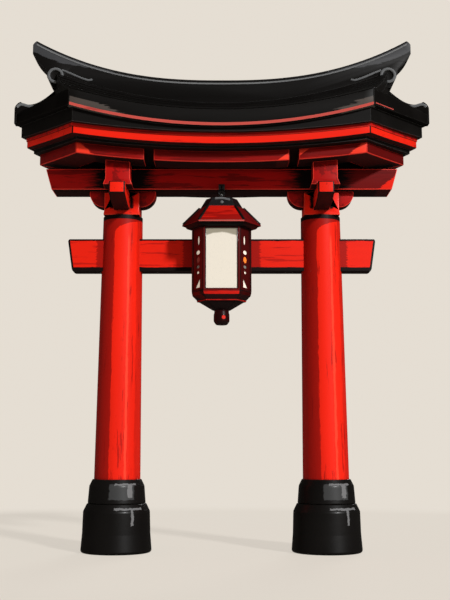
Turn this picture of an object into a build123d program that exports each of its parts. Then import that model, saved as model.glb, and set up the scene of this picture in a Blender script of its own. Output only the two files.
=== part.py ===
from build123d import *

import math
import os

# Torii gate with a black hipped roof, bracketed eaves and a hanging hexagonal lantern.
# Millimetres. +Z is up, +X runs along the gate to its right end, -Y is the front.
# The origin is on the ground midway between the two feet.

os.makedirs("parts", exist_ok=True)

# ---------------------------------------------------------------- driving dimensions

curve_gap = 0.3  # clearance between stacked curved faces

# Feet
foot_x = 1013
drum_height = 460
drum_base_radius = 342
drum_flare_height = 180
drum_waist_radius = 327
drum_brow_height = 388
drum_brow_radius = 321
drum_neck_radius = 286
drum_rounding = (26, 160, 34, 10)
collar_height = 230
collar_base_radius = 279
collar_brow_drop = 62
collar_brow_radius = 266
collar_lip = 10
collar_rounding = (12, 40, 5)
sleeve_clearance = 0.3

# Pillars: round, tapering and leaning towards each other
pillar_head_x = 990
pillar_head_z = 3271
pillar_foot_radius = 226
pillar_head_radius = 196

# Tie beam, passing through both pillars
tie_low_z = 2720
tie_height = 323
tie_top_half_length = 1530
tie_bottom_half_length = 1482
tie_half_depth = 90

# Head beam on the bracket sets
head_low_z = 3531
head_height = 209
head_top_half_length = 1751
head_bottom_half_length = 1691
head_half_depth = 160
frieze_half_depth = 60
frieze_end_clearance = 50

# Bearing block and bracket arms on each pillar
block_height = 223
block_half_width = 172
block_skirt_height = 52
block_skirt_flare = 8
arm_half_thickness = 75
side_arm_height = 161
side_arm_half_length = 330
side_arm_flat_half_length = 196
side_arm_bow_reach = 0.74
side_arm_bow_rise = 0.31
cross_arm_low_z = 3322
cross_arm_top_z = 3489
cross_arm_nose_height = 115
cross_arm_reach = 650
cross_arm_flat_reach = 330
cross_arm_half_width = 77
cross_arm_belly_share = 0.32

# Small blocks, on the cross arms and under the purlins
small_block_y = 500
small_block_low_z = 3470
small_block_half_width = 118
small_block_half_depth = 85
small_block_skirt_height = 62
small_block_skirt_flare = 20

# Sagging lines of the eaves: height at the middle, and rise at line_span from it
line_span = 1980
purlin_low_z = 3657
purlin_low_rise = 190
deck_low_z = 3764
deck_low_rise = 191
band_low_z = 3787
band_low_rise = 213
band_top_z = 3892
band_top_rise = 207

# Plan of the purlins and of the eave band: a long hexagon with pointed ends
purlin_kink_x = 1375
purlin_half_depth = 700
purlin_prow_x = 1846
purlin_thickness = 260
purlin_break_x = 686
purlin_break_gap = 92
band_kink_x = 1390
band_half_depth = 850
band_prow_x = 1980
band_thickness = 120
deck_setback = 60

# Roof: eave line, slope and prow
eave_low_z = 3935
eave_rise = 200
roof_kink_x = 1410
roof_half_depth = 950
roof_prow_x = 2094
prow_low_z = 4245
prow_nose_half_width = 32
fascia_height = 155
fascia_thickness = 110
roof_thickness = 90
roof_drop = 46
slope_hollow = 34
cornice_setback = 45
cornice_thickness = 155
gable_x = 1720
gable_half_depth = 700
gable_thickness = 50
hip_end_z = 4540
prow_top_z = 4345

# Ridge beam and prow ridges
ridge_seat_z = 4440
ridge_half_depth = 110
ridge_top_z = 4681
ridge_crest_x = 1886
ridge_tip_x = 1925
ridge_tip_z = 5098
ridge_power = 2.5
ridge_steps = 6
horn_round = 40
horn_chin_z = 4962
horn_cheek_x = 1772
horn_cheek_z = 4712
horn_low_z = 4600
horn_bow_share = 0.44
horn_inner_x = 1592
horn_waist_x = 1790
horn_waist_z = 4792
boss_x = 1686
boss_z = 4726
boss_radius = 76
boss_ring = 22
boss_height = 18
prow_ridge_half_depth = 46
prow_ridge_start_x = 1690
prow_ridge_start_z = 4606
prow_slack_z = 4506
prow_round = 70
prow_valley_x = 1930
prow_valley_z = 4450
prow_curl_x = 2050
prow_curl_z = 4476
prow_ridge_nose_x = 2108

# Lantern: a long hexagon in plan, hung in front of the tie beam
lantern_y = -330
body_low_z = 2470
body_half_width = 290
body_front_half_width = 177
body_half_depth = 165
wall = 22
post_width = 22
rail_height = 12
panel_thickness = 6
panel_clearance = 0.3
lantern_eave_z = 3132
lantern_eave_overhang = 72
lantern_rim_height = 44
lantern_rim_tuck = 34
lantern_roof_top_z = 3300
lantern_roof_top_share = 0.72
crown_low_share = 0.7
crown_top_share = 0.52
base_rim_height = 38
base_low_z = 2292
base_brow_z = 2380
base_rim_share = 0.97
base_brow_share = 0.8
base_foot_share = 0.29
finial_height = 138
finial_radius = 76
finial_neck_radius = 70
finial_neck_height = 18
finial_shoulder = 24
finial_belly_z = -104
finial_tip_radius = 54
finial_rounding = (2, 8, 18, 28, 20)

# Hanger: a flat bar under the head beam with an eye, a ring and the lantern's loop
bar_thickness = 15
bar_half_width = 30
bar_back_y = 60
bar_nose = 34
eye_radius = 22
eye_wire = 7
ring_radius = 30
ring_wire = 6
loop_radius = 26
loop_wire = 6
eye_sunk = 5
loop_sunk = 8
link_gap = 0.4

# ---------------------------------------------------------------- derived places

foot_top_z = drum_height
tie_top_z = tie_low_z + tie_height
head_top_z = head_low_z + head_height
side_arm_low_z = head_low_z - side_arm_height
lap_z = (side_arm_low_z + cross_arm_top_z) / 2
block_skirt_half_width = block_half_width + block_skirt_flare
block_skirt_angle = math.degrees(math.atan(block_skirt_flare / block_skirt_height))
small_block_skirt_angle = math.degrees(
    math.atan(small_block_skirt_flare / small_block_skirt_height)
)
sides = (("left", -1), ("right", 1))
faces = (("front", -1), ("rear", 1))


def sagging_radius(rise, span):
    """Radius of the arc that rises by the given amount at the given half span."""
    return (span**2 + rise**2) / (2 * rise)


def sagging_height(x, middle_z, radius):
    """Height at x of a sagging arc whose lowest point is at middle_z."""
    return middle_z + radius - math.sqrt(radius**2 - x**2)


def inset(kink_x, half_depth, prow_x, distance):
    """Kink x, half depth and prow x of a long hexagon after moving its sides inwards."""
    side_length = math.hypot(prow_x - kink_x, half_depth)
    inner_kink = kink_x + distance * ((prow_x - kink_x) - side_length) / half_depth
    inner_prow = prow_x - distance * side_length / half_depth
    return inner_kink, half_depth - distance, inner_prow


def bent_board(outline, thickness):
    """Plan of a board along the front of a long hexagon and round to both prows."""
    kink, depth, prow = outline
    inner_kink, inner_depth, inner_prow = inset(kink, depth, prow, thickness)
    return [
        (-prow, 0), (-kink, -depth), (kink, -depth), (prow, 0),
        (inner_prow, 0), (inner_kink, -inner_depth),
        (-inner_kink, -inner_depth), (-inner_prow, 0),
    ]


def corner_board(outline, thickness, start_x):
    """Plan of a board from start_x along the front, round the kink to the right prow."""
    kink, depth, prow = outline
    inner_kink, inner_depth, inner_prow = inset(kink, depth, prow, thickness)
    return [
        (start_x, -depth), (kink, -depth), (prow, 0),
        (inner_prow, 0), (inner_kink, -inner_depth), (start_x, -inner_depth),
    ]


def plan_prism(points):
    """Upright prism over a plan outline, tall enough for any part of the eaves."""
    with BuildPart() as prism:
        with BuildSketch(Plane.XY.offset(head_low_z)):
            with BuildLine():
                Polyline(*points, close=True)
            make_face()
        extrude(amount=ridge_tip_z - head_low_z)
    return prism.part


def sagging_slab(low_z, low_rise, top_z, top_rise, gap=0.0):
    """Slab between two sagging lines, with the upper one lowered by a gap."""
    reach = roof_prow_x + roof_thickness
    low_radius = sagging_radius(low_rise, line_span)
    top_radius = sagging_radius(top_rise, line_span)
    low_end = sagging_height(reach, low_z, low_radius)
    top_end = sagging_height(reach, top_z, top_radius) - gap
    with BuildPart() as slab:
        with BuildSketch(Plane.XZ):
            with BuildLine():
                ThreePointArc((-reach, low_end), (0, low_z), (reach, low_end))
                Line((reach, low_end), (reach, top_end))
                ThreePointArc((reach, top_end), (0, top_z - gap), (-reach, top_end))
                Line((-reach, top_end), (-reach, low_end))
            make_face()
        extrude(amount=roof_half_depth, both=True)
    return slab.part


def long_hexagon(front_half_width, half_width, half_depth):
    """Plan of the lantern: wide front and rear sides and pointed ends."""
    return [
        (-half_width, 0), (-front_half_width, -half_depth), (front_half_width, -half_depth),
        (half_width, 0), (front_half_width, half_depth), (-front_half_width, half_depth),
    ]


# ---------------------------------------------------------------- feet and pillars

with BuildPart() as tie_beam:
    with BuildSketch(Plane.XZ):
        with BuildLine():
            Polyline(
                (-tie_bottom_half_length, tie_low_z), (tie_bottom_half_length, tie_low_z),
                (tie_top_half_length, tie_top_z), (-tie_top_half_length, tie_top_z),
                close=True,
            )
        make_face()
    extrude(amount=tie_half_depth, both=True)
tie_beam.part.label = "tie_beam"
export_step(tie_beam.part, "parts/tie_beam.step")

for side, sign in sides:
    foot_centre = sign * foot_x
    head_centre = sign * pillar_head_x
    foot_section = Plane(origin=(foot_centre, 0, 0), x_dir=(1, 0, 0), z_dir=(0, -1, 0))
    foot_axis = Axis((foot_centre, 0, 0), (0, 0, 1))

    with BuildPart() as foot_drum:
        with BuildSketch(foot_section):
            with BuildLine():
                FilletPolyline(
                    (0, 0), (drum_base_radius, 0), (drum_waist_radius, drum_flare_height),
                    (drum_brow_radius, drum_brow_height), (drum_neck_radius, drum_height),
                    (0, drum_height),
                    radius=drum_rounding,
                )
                Line((0, drum_height), (0, 0))
            make_face()
        revolve(axis=foot_axis)
    foot_drum.part.label = f"{side}_foot_drum"
    export_step(foot_drum.part, f"parts/{side}_foot_drum.step")

    with BuildPart() as pillar:
        with BuildSketch(Plane.XY.offset(foot_top_z)):
            with Locations((foot_centre, 0)):
                Circle(pillar_foot_radius)
        with BuildSketch(Plane.XY.offset(pillar_head_z)):
            with Locations((head_centre, 0)):
                Circle(pillar_head_radius)
        loft()
        add(tie_beam.part, mode=Mode.SUBTRACT)
    pillar.part.label = f"{side}_pillar"
    export_step(pillar.part, f"parts/{side}_pillar.step")

    with BuildPart() as pillar_sleeve:
        with BuildSketch(Plane.XY.offset(foot_top_z)):
            with Locations((foot_centre, 0)):
                Circle(pillar_foot_radius + sleeve_clearance)
        with BuildSketch(Plane.XY.offset(pillar_head_z)):
            with Locations((head_centre, 0)):
                Circle(pillar_head_radius + sleeve_clearance)
        loft()

    with BuildPart() as foot_collar:
        with BuildSketch(foot_section):
            with BuildLine():
                collar_top_z = drum_height + collar_height
                collar_brow_z = collar_top_z - collar_brow_drop
                collar_top_radius = pillar_foot_radius + collar_lip
                FilletPolyline(
                    (0, drum_height), (collar_base_radius, drum_height),
                    (collar_brow_radius, collar_brow_z), (collar_top_radius, collar_top_z),
                    (0, collar_top_z),
                    radius=collar_rounding,
                )
                Line((0, collar_top_z), (0, drum_height))
            make_face()
        revolve(axis=foot_axis)
        add(pillar_sleeve.part, mode=Mode.SUBTRACT)
    foot_collar.part.label = f"{side}_foot_collar"
    export_step(foot_collar.part, f"parts/{side}_foot_collar.step")

# ---------------------------------------------------------------- purlins and eaves

purlin_outline = (purlin_kink_x, purlin_half_depth, purlin_prow_x)
band_outline = (band_kink_x, band_half_depth, band_prow_x)
roof_outline = (roof_kink_x, roof_half_depth, roof_prow_x)
purlin_slab = sagging_slab(
    purlin_low_z, purlin_low_rise, deck_low_z, deck_low_rise, curve_gap
)
deck_slab = sagging_slab(deck_low_z, deck_low_rise, band_low_z, band_low_rise, curve_gap)
band_slab = sagging_slab(band_low_z, band_low_rise, band_top_z, band_top_rise, curve_gap)
centre_purlin_half = purlin_break_x - purlin_break_gap / 2
corner_purlin_start = purlin_break_x + purlin_break_gap / 2

for face, face_sign in faces:
    with BuildPart() as centre_purlin:
        with BuildSketch(Plane.XY.offset(purlin_low_z - purlin_low_rise)):
            with Locations((0, face_sign * (purlin_half_depth - purlin_thickness / 2))):
                Rectangle(2 * centre_purlin_half, purlin_thickness)
        extrude(amount=ridge_tip_z - purlin_low_z)
        add(purlin_slab, mode=Mode.INTERSECT)
    centre_purlin.part.label = f"{face}_centre_purlin"
    export_step(centre_purlin.part, f"parts/{face}_centre_purlin.step")

    for side, sign in sides:
        corner_plan = [
            (sign * x, -face_sign * y)
            for x, y in corner_board(purlin_outline, purlin_thickness, corner_purlin_start)
        ]
        with BuildPart() as corner_purlin:
            add(plan_prism(corner_plan))
            add(purlin_slab, mode=Mode.INTERSECT)
        corner_purlin.part.label = f"{face}_{side}_purlin"
        export_step(corner_purlin.part, f"parts/{face}_{side}_purlin.step")

    band_plan = [(x, -face_sign * y) for x, y in bent_board(band_outline, band_thickness)]
    with BuildPart() as eave_band:
        add(plan_prism(band_plan))
        add(band_slab, mode=Mode.INTERSECT)
    eave_band.part.label = f"{face}_eave_band"
    export_step(eave_band.part, f"parts/{face}_eave_band.step")

with BuildPart() as soffit_deck:
    deck_kink, deck_depth, deck_prow = inset(*band_outline, deck_setback)
    add(plan_prism(long_hexagon(deck_kink, deck_prow, deck_depth)))
    add(deck_slab, mode=Mode.INTERSECT)
soffit_deck.part.label = "soffit_deck"
export_step(soffit_deck.part, "parts/soffit_deck.step")

# ---------------------------------------------------------------- head beam and brackets

with BuildPart() as head_beam:
    with BuildSketch(Plane.XZ):
        with BuildLine():
            Polyline(
                (-head_bottom_half_length, head_low_z), (head_bottom_half_length, head_low_z),
                (head_top_half_length, head_top_z), (-head_top_half_length, head_top_z),
                close=True,
            )
        make_face()
    extrude(amount=head_half_depth, both=True)
head_beam.part.label = "head_beam"
export_step(head_beam.part, "parts/head_beam.step")

with BuildPart() as frieze_board:
    frieze_half_length = (
        inset(*purlin_outline, purlin_thickness)[2] - frieze_half_depth - frieze_end_clearance
    )
    frieze_radius = sagging_radius(deck_low_rise, line_span)
    frieze_end_z = sagging_height(frieze_half_length, deck_low_z, frieze_radius) - curve_gap
    with BuildSketch(Plane.XZ):
        with BuildLine():
            Polyline(
                (-frieze_half_length, frieze_end_z), (-frieze_half_length, head_top_z),
                (frieze_half_length, head_top_z), (frieze_half_length, frieze_end_z),
            )
            ThreePointArc(
                (frieze_half_length, frieze_end_z), (0, deck_low_z - curve_gap),
                (-frieze_half_length, frieze_end_z),
            )
        make_face()
    extrude(amount=frieze_half_depth, both=True)
frieze_board.part.label = "frieze_board"
export_step(frieze_board.part, "parts/frieze_board.step")

under_purlins = sagging_slab(
    small_block_low_z - purlin_low_rise, purlin_low_rise, purlin_low_z, purlin_low_rise, curve_gap
)

for side, sign in sides:
    head_centre = sign * pillar_head_x
    arm_section = Plane(origin=(head_centre, 0, 0), x_dir=(1, 0, 0), z_dir=(0, -1, 0))
    nose_section = Plane(origin=(head_centre, 0, 0), x_dir=(0, 1, 0), z_dir=(1, 0, 0))

    with BuildPart() as side_arm:
        with BuildSketch(arm_section):
            with BuildLine():
                arm_curve = side_arm_half_length - side_arm_flat_half_length
                Line((-side_arm_half_length, head_low_z), (side_arm_half_length, head_low_z))
                ThreePointArc(
                    (side_arm_half_length, head_low_z),
                    (
                        side_arm_flat_half_length + side_arm_bow_reach * arm_curve,
                        side_arm_low_z + side_arm_bow_rise * side_arm_height,
                    ),
                    (side_arm_flat_half_length, side_arm_low_z),
                )
                Line(
                    (side_arm_flat_half_length, side_arm_low_z),
                    (-side_arm_flat_half_length, side_arm_low_z),
                )
                ThreePointArc(
                    (-side_arm_flat_half_length, side_arm_low_z),
                    (
                        -side_arm_flat_half_length - side_arm_bow_reach * arm_curve,
                        side_arm_low_z + side_arm_bow_rise * side_arm_height,
                    ),
                    (-side_arm_half_length, head_low_z),
                )
            make_face()
        extrude(amount=arm_half_thickness, both=True)
        with BuildSketch(Plane.XY.offset(side_arm_low_z)):
            with Locations((head_centre, 0)):
                Rectangle(2 * cross_arm_half_width, 2 * arm_half_thickness)
        extrude(amount=lap_z - side_arm_low_z, mode=Mode.SUBTRACT)
    side_arm.part.label = f"{side}_side_bracket_arm"
    export_step(side_arm.part, f"parts/{side}_side_bracket_arm.step")

    with BuildPart() as cross_arm:
        with BuildSketch(nose_section):
            with BuildLine():
                nose_low_z = cross_arm_top_z - cross_arm_nose_height
                belly_y = (cross_arm_reach + cross_arm_flat_reach) / 2
                belly_drop = nose_low_z - cross_arm_low_z
                belly_z = cross_arm_low_z + cross_arm_belly_share * belly_drop
                Polyline(
                    (-cross_arm_reach, nose_low_z), (-cross_arm_reach, cross_arm_top_z),
                    (cross_arm_reach, cross_arm_top_z), (cross_arm_reach, nose_low_z),
                )
                ThreePointArc(
                    (cross_arm_reach, nose_low_z), (belly_y, belly_z),
                    (cross_arm_flat_reach, cross_arm_low_z),
                )
                Line(
                    (cross_arm_flat_reach, cross_arm_low_z),
                    (-cross_arm_flat_reach, cross_arm_low_z),
                )
                ThreePointArc(
                    (-cross_arm_flat_reach, cross_arm_low_z), (-belly_y, belly_z),
                    (-cross_arm_reach, nose_low_z),
                )
            make_face()
        extrude(amount=cross_arm_half_width, both=True)
        add(side_arm.part, mode=Mode.SUBTRACT)
    cross_arm.part.label = f"{side}_cross_bracket_arm"
    export_step(cross_arm.part, f"parts/{side}_cross_bracket_arm.step")

    with BuildPart() as bearing_block:
        with BuildSketch(Plane.XY.offset(pillar_head_z)):
            with Locations((head_centre, 0)):
                Rectangle(2 * block_skirt_half_width, 2 * block_skirt_half_width)
        extrude(amount=block_skirt_height, taper=block_skirt_angle)
        with BuildSketch(Plane.XY.offset(pillar_head_z + block_skirt_height)):
            with Locations((head_centre, 0)):
                Rectangle(2 * block_half_width, 2 * block_half_width)
        extrude(amount=block_height - block_skirt_height)
        add(side_arm.part, mode=Mode.SUBTRACT)
        add(cross_arm.part, mode=Mode.SUBTRACT)
    bearing_block.part.label = f"{side}_bearing_block"
    export_step(bearing_block.part, f"parts/{side}_bearing_block.step")

    with BuildPart() as small_blocks:
        small_block_centres = [
            (head_centre, -small_block_y), (head_centre, small_block_y),
        ]
        with BuildSketch(Plane.XY.offset(small_block_low_z)):
            with Locations(*small_block_centres):
                Rectangle(
                    2 * (small_block_half_width + small_block_skirt_flare),
                    2 * (small_block_half_depth + small_block_skirt_flare),
                )
        extrude(amount=small_block_skirt_height, taper=small_block_skirt_angle)
        with BuildSketch(Plane.XY.offset(small_block_low_z + small_block_skirt_height)):
            with Locations(*small_block_centres):
                Rectangle(2 * small_block_half_width, 2 * small_block_half_depth)
        extrude(amount=deck_low_z - small_block_low_z)
        add(under_purlins, mode=Mode.INTERSECT)
        add(cross_arm.part, mode=Mode.SUBTRACT)
    small_blocks.part.label = f"{side}_small_blocks"
    export_step(small_blocks.part, f"parts/{side}_small_blocks.step")

# ---------------------------------------------------------------- ridge beam

eave_radius = sagging_radius(eave_rise, roof_kink_x)
sag_axis_z = eave_low_z + eave_radius
sag_axis = Axis((0, 0, sag_axis_z), (0, 1, 0))
seat_radius = sag_axis_z - ridge_seat_z
horn_seat_z = sagging_height(horn_inner_x, ridge_seat_z, seat_radius) + curve_gap
ridge_crest = [
    (
        ridge_crest_x * step / ridge_steps,
        ridge_top_z + (ridge_tip_z - ridge_top_z) * abs(step / ridge_steps) ** ridge_power,
    )
    for step in range(-ridge_steps, ridge_steps + 1)
]

with BuildPart() as ridge_beam:
    with BuildSketch(Plane.XZ):
        with BuildLine():
            Spline(*ridge_crest)
            for sign in (-1, 1):
                ThreePointArc(
                    (sign * ridge_crest_x, ridge_tip_z),
                    (sign * (ridge_tip_x - horn_round / 3), ridge_tip_z - horn_round / 2),
                    (sign * ridge_tip_x, ridge_tip_z - horn_round),
                )
                Line(
                    (sign * ridge_tip_x, ridge_tip_z - horn_round),
                    (sign * ridge_tip_x, horn_chin_z),
                )
                ThreePointArc(
                    (sign * ridge_tip_x, horn_chin_z),
                    (
                        sign * (ridge_tip_x - horn_bow_share * (ridge_tip_x - horn_waist_x)),
                        horn_waist_z + horn_bow_share * (horn_chin_z - horn_waist_z),
                    ),
                    (sign * horn_waist_x, horn_waist_z),
                )
                Polyline(
                    (sign * horn_waist_x, horn_waist_z), (sign * horn_cheek_x, horn_cheek_z),
                    (sign * gable_x, horn_low_z), (sign * horn_inner_x, horn_low_z),
                    (sign * horn_inner_x, horn_seat_z),
                )
            ThreePointArc(
                (-horn_inner_x, horn_seat_z), (0, ridge_seat_z + curve_gap),
                (horn_inner_x, horn_seat_z),
            )
        make_face()
    extrude(amount=ridge_half_depth, both=True)
    boss_centres = [(-boss_x, boss_z), (boss_x, boss_z)]
    with BuildSketch(Plane.XZ):
        with Locations(*boss_centres):
            Circle(boss_radius)
    extrude(amount=ridge_half_depth + boss_height / 2, both=True)
    with BuildSketch(Plane.XZ):
        with Locations(*boss_centres):
            Circle(boss_radius)
            Circle(boss_radius - boss_ring, mode=Mode.SUBTRACT)
    extrude(amount=ridge_half_depth + boss_height, both=True)
ridge_beam.part.label = "ridge_beam"
export_step(ridge_beam.part, "parts/ridge_beam.step")

# ---------------------------------------------------------------- cornice and roof

sweep_angle = math.degrees(math.asin(ridge_tip_x / seat_radius))
kink_low_z = sagging_height(roof_kink_x, eave_low_z, eave_radius)
kink_top_z = kink_low_z + fascia_height
prow_slope = (prow_low_z - kink_low_z) / (roof_prow_x - roof_kink_x)
hip_low_z = kink_low_z + prow_slope * (gable_x - roof_kink_x)
fascia_top_z = eave_low_z + fascia_height
inner_eave_y = roof_half_depth - fascia_thickness
inner_eave_z = fascia_top_z + roof_drop - roof_thickness
inner_ridge_z = ridge_seat_z - roof_thickness
outer_middle_y = (roof_half_depth + ridge_half_depth) / 2
outer_middle_z = (fascia_top_z + ridge_seat_z) / 2 - slope_hollow
inner_middle_y = (inner_eave_y + ridge_half_depth) / 2
inner_middle_z = (inner_eave_z + inner_ridge_z) / 2 - slope_hollow
hip_length = math.hypot(gable_x - roof_kink_x, roof_half_depth)

with BuildPart() as under_roof:
    with BuildSketch(Plane.XZ):
        with BuildLine():
            Polyline(
                (-roof_kink_x, kink_low_z - curve_gap), (-roof_prow_x, prow_low_z - curve_gap),
                (-roof_prow_x, head_top_z), (roof_prow_x, head_top_z),
                (roof_prow_x, prow_low_z - curve_gap), (roof_kink_x, kink_low_z - curve_gap),
            )
            ThreePointArc(
                (roof_kink_x, kink_low_z - curve_gap), (0, eave_low_z - curve_gap),
                (-roof_kink_x, kink_low_z - curve_gap),
            )
        make_face()
    extrude(amount=roof_half_depth, both=True)

over_band = sagging_slab(band_top_z, band_top_rise, ridge_tip_z, band_top_rise)
cornice_outline = inset(*roof_outline, cornice_setback)

for face, face_sign in faces:
    cornice_plan = [
        (x, -face_sign * y) for x, y in bent_board(cornice_outline, cornice_thickness)
    ]
    with BuildPart() as cornice:
        add(plan_prism(cornice_plan))
        add(over_band, mode=Mode.INTERSECT)
        add(under_roof.part, mode=Mode.INTERSECT)
    cornice.part.label = f"{face}_cornice"
    export_step(cornice.part, f"parts/{face}_cornice.step")

    with BuildPart() as roof_slope:
        with BuildSketch(Plane.YZ):
            with BuildLine():
                Line(
                    (face_sign * roof_half_depth, eave_low_z),
                    (face_sign * roof_half_depth, fascia_top_z),
                )
                ThreePointArc(
                    (face_sign * roof_half_depth, fascia_top_z),
                    (face_sign * outer_middle_y, outer_middle_z),
                    (face_sign * ridge_half_depth, ridge_seat_z),
                )
                Polyline(
                    (face_sign * ridge_half_depth, ridge_seat_z), (0, ridge_seat_z),
                    (0, inner_ridge_z), (face_sign * ridge_half_depth, inner_ridge_z),
                )
                ThreePointArc(
                    (face_sign * ridge_half_depth, inner_ridge_z),
                    (face_sign * inner_middle_y, inner_middle_z),
                    (face_sign * inner_eave_y, inner_eave_z),
                )
                Polyline(
                    (face_sign * inner_eave_y, inner_eave_z),
                    (face_sign * inner_eave_y, eave_low_z),
                    (face_sign * roof_half_depth, eave_low_z),
                )
            make_face()
        revolve(axis=sag_axis, revolution_arc=sweep_angle)
        mirror(about=Plane.YZ)
        with BuildSketch(Plane.XY.offset(head_low_z)):
            with BuildLine():
                Polyline(
                    (-roof_kink_x, face_sign * roof_half_depth),
                    (roof_kink_x, face_sign * roof_half_depth),
                    (gable_x, 0), (-gable_x, 0),
                    close=True,
                )
            make_face()
        extrude(amount=ridge_tip_z - head_low_z, mode=Mode.INTERSECT)
        add(ridge_beam.part, mode=Mode.SUBTRACT)
    roof_slope.part.label = f"{face}_roof_slope"
    export_step(roof_slope.part, f"parts/{face}_roof_slope.step")
    if face == "front":
        front_roof_slope = roof_slope.part

with BuildPart() as attic:
    with BuildSketch(Plane.YZ):
        with BuildLine():
            for face_sign in (-1, 1):
                Polyline(
                    (0, head_low_z), (face_sign * inner_eave_y, head_low_z),
                    (face_sign * inner_eave_y, inner_eave_z - curve_gap),
                )
                ThreePointArc(
                    (face_sign * inner_eave_y, inner_eave_z - curve_gap),
                    (face_sign * inner_middle_y, inner_middle_z - curve_gap),
                    (face_sign * ridge_half_depth, inner_ridge_z - curve_gap),
                )
            Line(
                (-ridge_half_depth, inner_ridge_z - curve_gap),
                (ridge_half_depth, inner_ridge_z - curve_gap),
            )
        make_face()
    revolve(axis=sag_axis, revolution_arc=sweep_angle)
    mirror(about=Plane.YZ)

for side, sign in sides:
    hip_slant = (gable_x - roof_kink_x) / roof_half_depth
    gable_end_x = gable_x - hip_slant * gable_half_depth
    gable_width = gable_thickness * hip_length / roof_half_depth
    with BuildPart() as gable_wall:
        with BuildSketch(Plane.XY.offset(head_top_z)):
            with BuildLine():
                Polyline(
                    (sign * gable_end_x, -gable_half_depth), (sign * gable_x, 0),
                    (sign * gable_end_x, gable_half_depth),
                    (sign * (gable_end_x - gable_width), gable_half_depth),
                    (sign * (gable_x - gable_width), 0),
                    (sign * (gable_end_x - gable_width), -gable_half_depth),
                    close=True,
                )
            make_face()
        extrude(amount=ridge_tip_z - head_low_z)
        add(attic.part, mode=Mode.INTERSECT)
        add(under_roof.part, mode=Mode.SUBTRACT)
        add(ridge_beam.part, mode=Mode.SUBTRACT)
    gable_wall.part.label = f"{side}_gable_wall"
    export_step(gable_wall.part, f"parts/{side}_gable_wall.step")

    hip_plane = Plane(
        origin=(roof_kink_x, -roof_half_depth, 0),
        x_dir=(gable_x - roof_kink_x, roof_half_depth, 0),
        z_dir=(roof_half_depth, roof_kink_x - gable_x, 0),
    )
    nose_plane = Plane(origin=(roof_prow_x, 0, 0), x_dir=(0, 1, 0), z_dir=(1, 0, 0))
    with BuildPart() as roof_end:
        with BuildSketch(hip_plane):
            with BuildLine():
                Polyline(
                    (0, kink_low_z), (0, kink_top_z), (hip_length, hip_end_z),
                    (hip_length, hip_low_z), close=True,
                )
            make_face()
        with BuildSketch(nose_plane):
            with BuildLine():
                Polyline(
                    (-prow_nose_half_width, prow_low_z), (-prow_nose_half_width, prow_top_z),
                    (0, prow_top_z), (0, prow_low_z), close=True,
                )
            make_face()
        loft(ruled=True)
        mirror(about=Plane.XZ)
        if sign < 0:
            mirror(about=Plane.YZ, mode=Mode.REPLACE)
    roof_end.part.label = f"{side}_roof_end"
    export_step(roof_end.part, f"parts/{side}_roof_end.step")

    with BuildPart() as prow_ridge:
        with BuildSketch(Plane.XZ):
            with BuildLine():
                Spline(
                    (sign * prow_ridge_start_x, prow_ridge_start_z),
                    (sign * (prow_ridge_start_x + prow_valley_x) / 2, prow_slack_z),
                    (sign * prow_valley_x, prow_valley_z),
                    (sign * prow_curl_x, prow_curl_z),
                )
                ThreePointArc(
                    (sign * prow_curl_x, prow_curl_z),
                    (sign * (prow_ridge_nose_x - prow_round / 3), prow_curl_z - prow_round / 3),
                    (sign * prow_ridge_nose_x, prow_curl_z - prow_round),
                )
                Polyline(
                    (sign * prow_ridge_nose_x, prow_curl_z - prow_round),
                    (sign * prow_ridge_nose_x, prow_low_z),
                    (sign * prow_valley_x, prow_low_z),
                    (sign * prow_ridge_start_x, hip_low_z),
                    (sign * prow_ridge_start_x, prow_ridge_start_z),
                )
            make_face()
        extrude(amount=prow_ridge_half_depth, both=True)
        add(roof_end.part, mode=Mode.SUBTRACT)
        add(gable_wall.part, mode=Mode.SUBTRACT)
        add(ridge_beam.part, mode=Mode.SUBTRACT)
        add(front_roof_slope, mode=Mode.SUBTRACT)
        add(roof_slope.part, mode=Mode.SUBTRACT)
    prow_ridge.part.label = f"{side}_prow_ridge"
    export_step(prow_ridge.part, f"parts/{side}_prow_ridge.step")

# ---------------------------------------------------------------- lantern

body_top_z = lantern_eave_z - lantern_rim_height
base_rim_low_z = body_low_z - base_rim_height
oblique_length = math.hypot(body_half_width - body_front_half_width, body_half_depth)
window_low_z = body_low_z + rail_height
window_height = body_top_z - body_low_z - 2 * rail_height
window_middle_z = window_low_z + window_height / 2
front_window_width = 2 * (body_front_half_width - post_width)
side_window_width = oblique_length - 2 * post_width
body_plan = long_hexagon(body_front_half_width, body_half_width, body_half_depth)
corners = ((-1, -1), (1, -1), (1, 1), (-1, 1))


def lantern_plan(share):
    """Outline of the lantern body, scaled about its centre."""
    return [(share * x, share * y) for x, y in body_plan]


def oblique_plane(sign_x, sign_y):
    """Plane on the outside of one oblique side of the lantern, with its x axis upwards."""
    return Plane(
        origin=(
            sign_x * (body_front_half_width + body_half_width) / 2,
            lantern_y + sign_y * body_half_depth / 2,
            window_middle_z,
        ),
        x_dir=(0, 0, 1),
        z_dir=(
            sign_x * body_half_depth, sign_y * (body_half_width - body_front_half_width), 0
        ),
    )


with BuildPart() as lantern_frame:
    with BuildSketch(Plane((0, lantern_y, body_low_z))):
        with BuildLine():
            Polyline(*body_plan, close=True)
        make_face()
        offset(amount=-wall, kind=Kind.INTERSECTION, mode=Mode.SUBTRACT)
    extrude(amount=body_top_z - body_low_z)
    with Locations((0, lantern_y, window_middle_z)):
        Box(front_window_width, 2 * body_half_depth, window_height, mode=Mode.SUBTRACT)
    for sign_x, sign_y in corners:
        with BuildSketch(oblique_plane(sign_x, sign_y)):
            Rectangle(window_height, side_window_width)
        extrude(amount=-wall, mode=Mode.SUBTRACT)
lantern_frame.part.label = "lantern_frame"
export_step(lantern_frame.part, "parts/lantern_frame.step")

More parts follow.
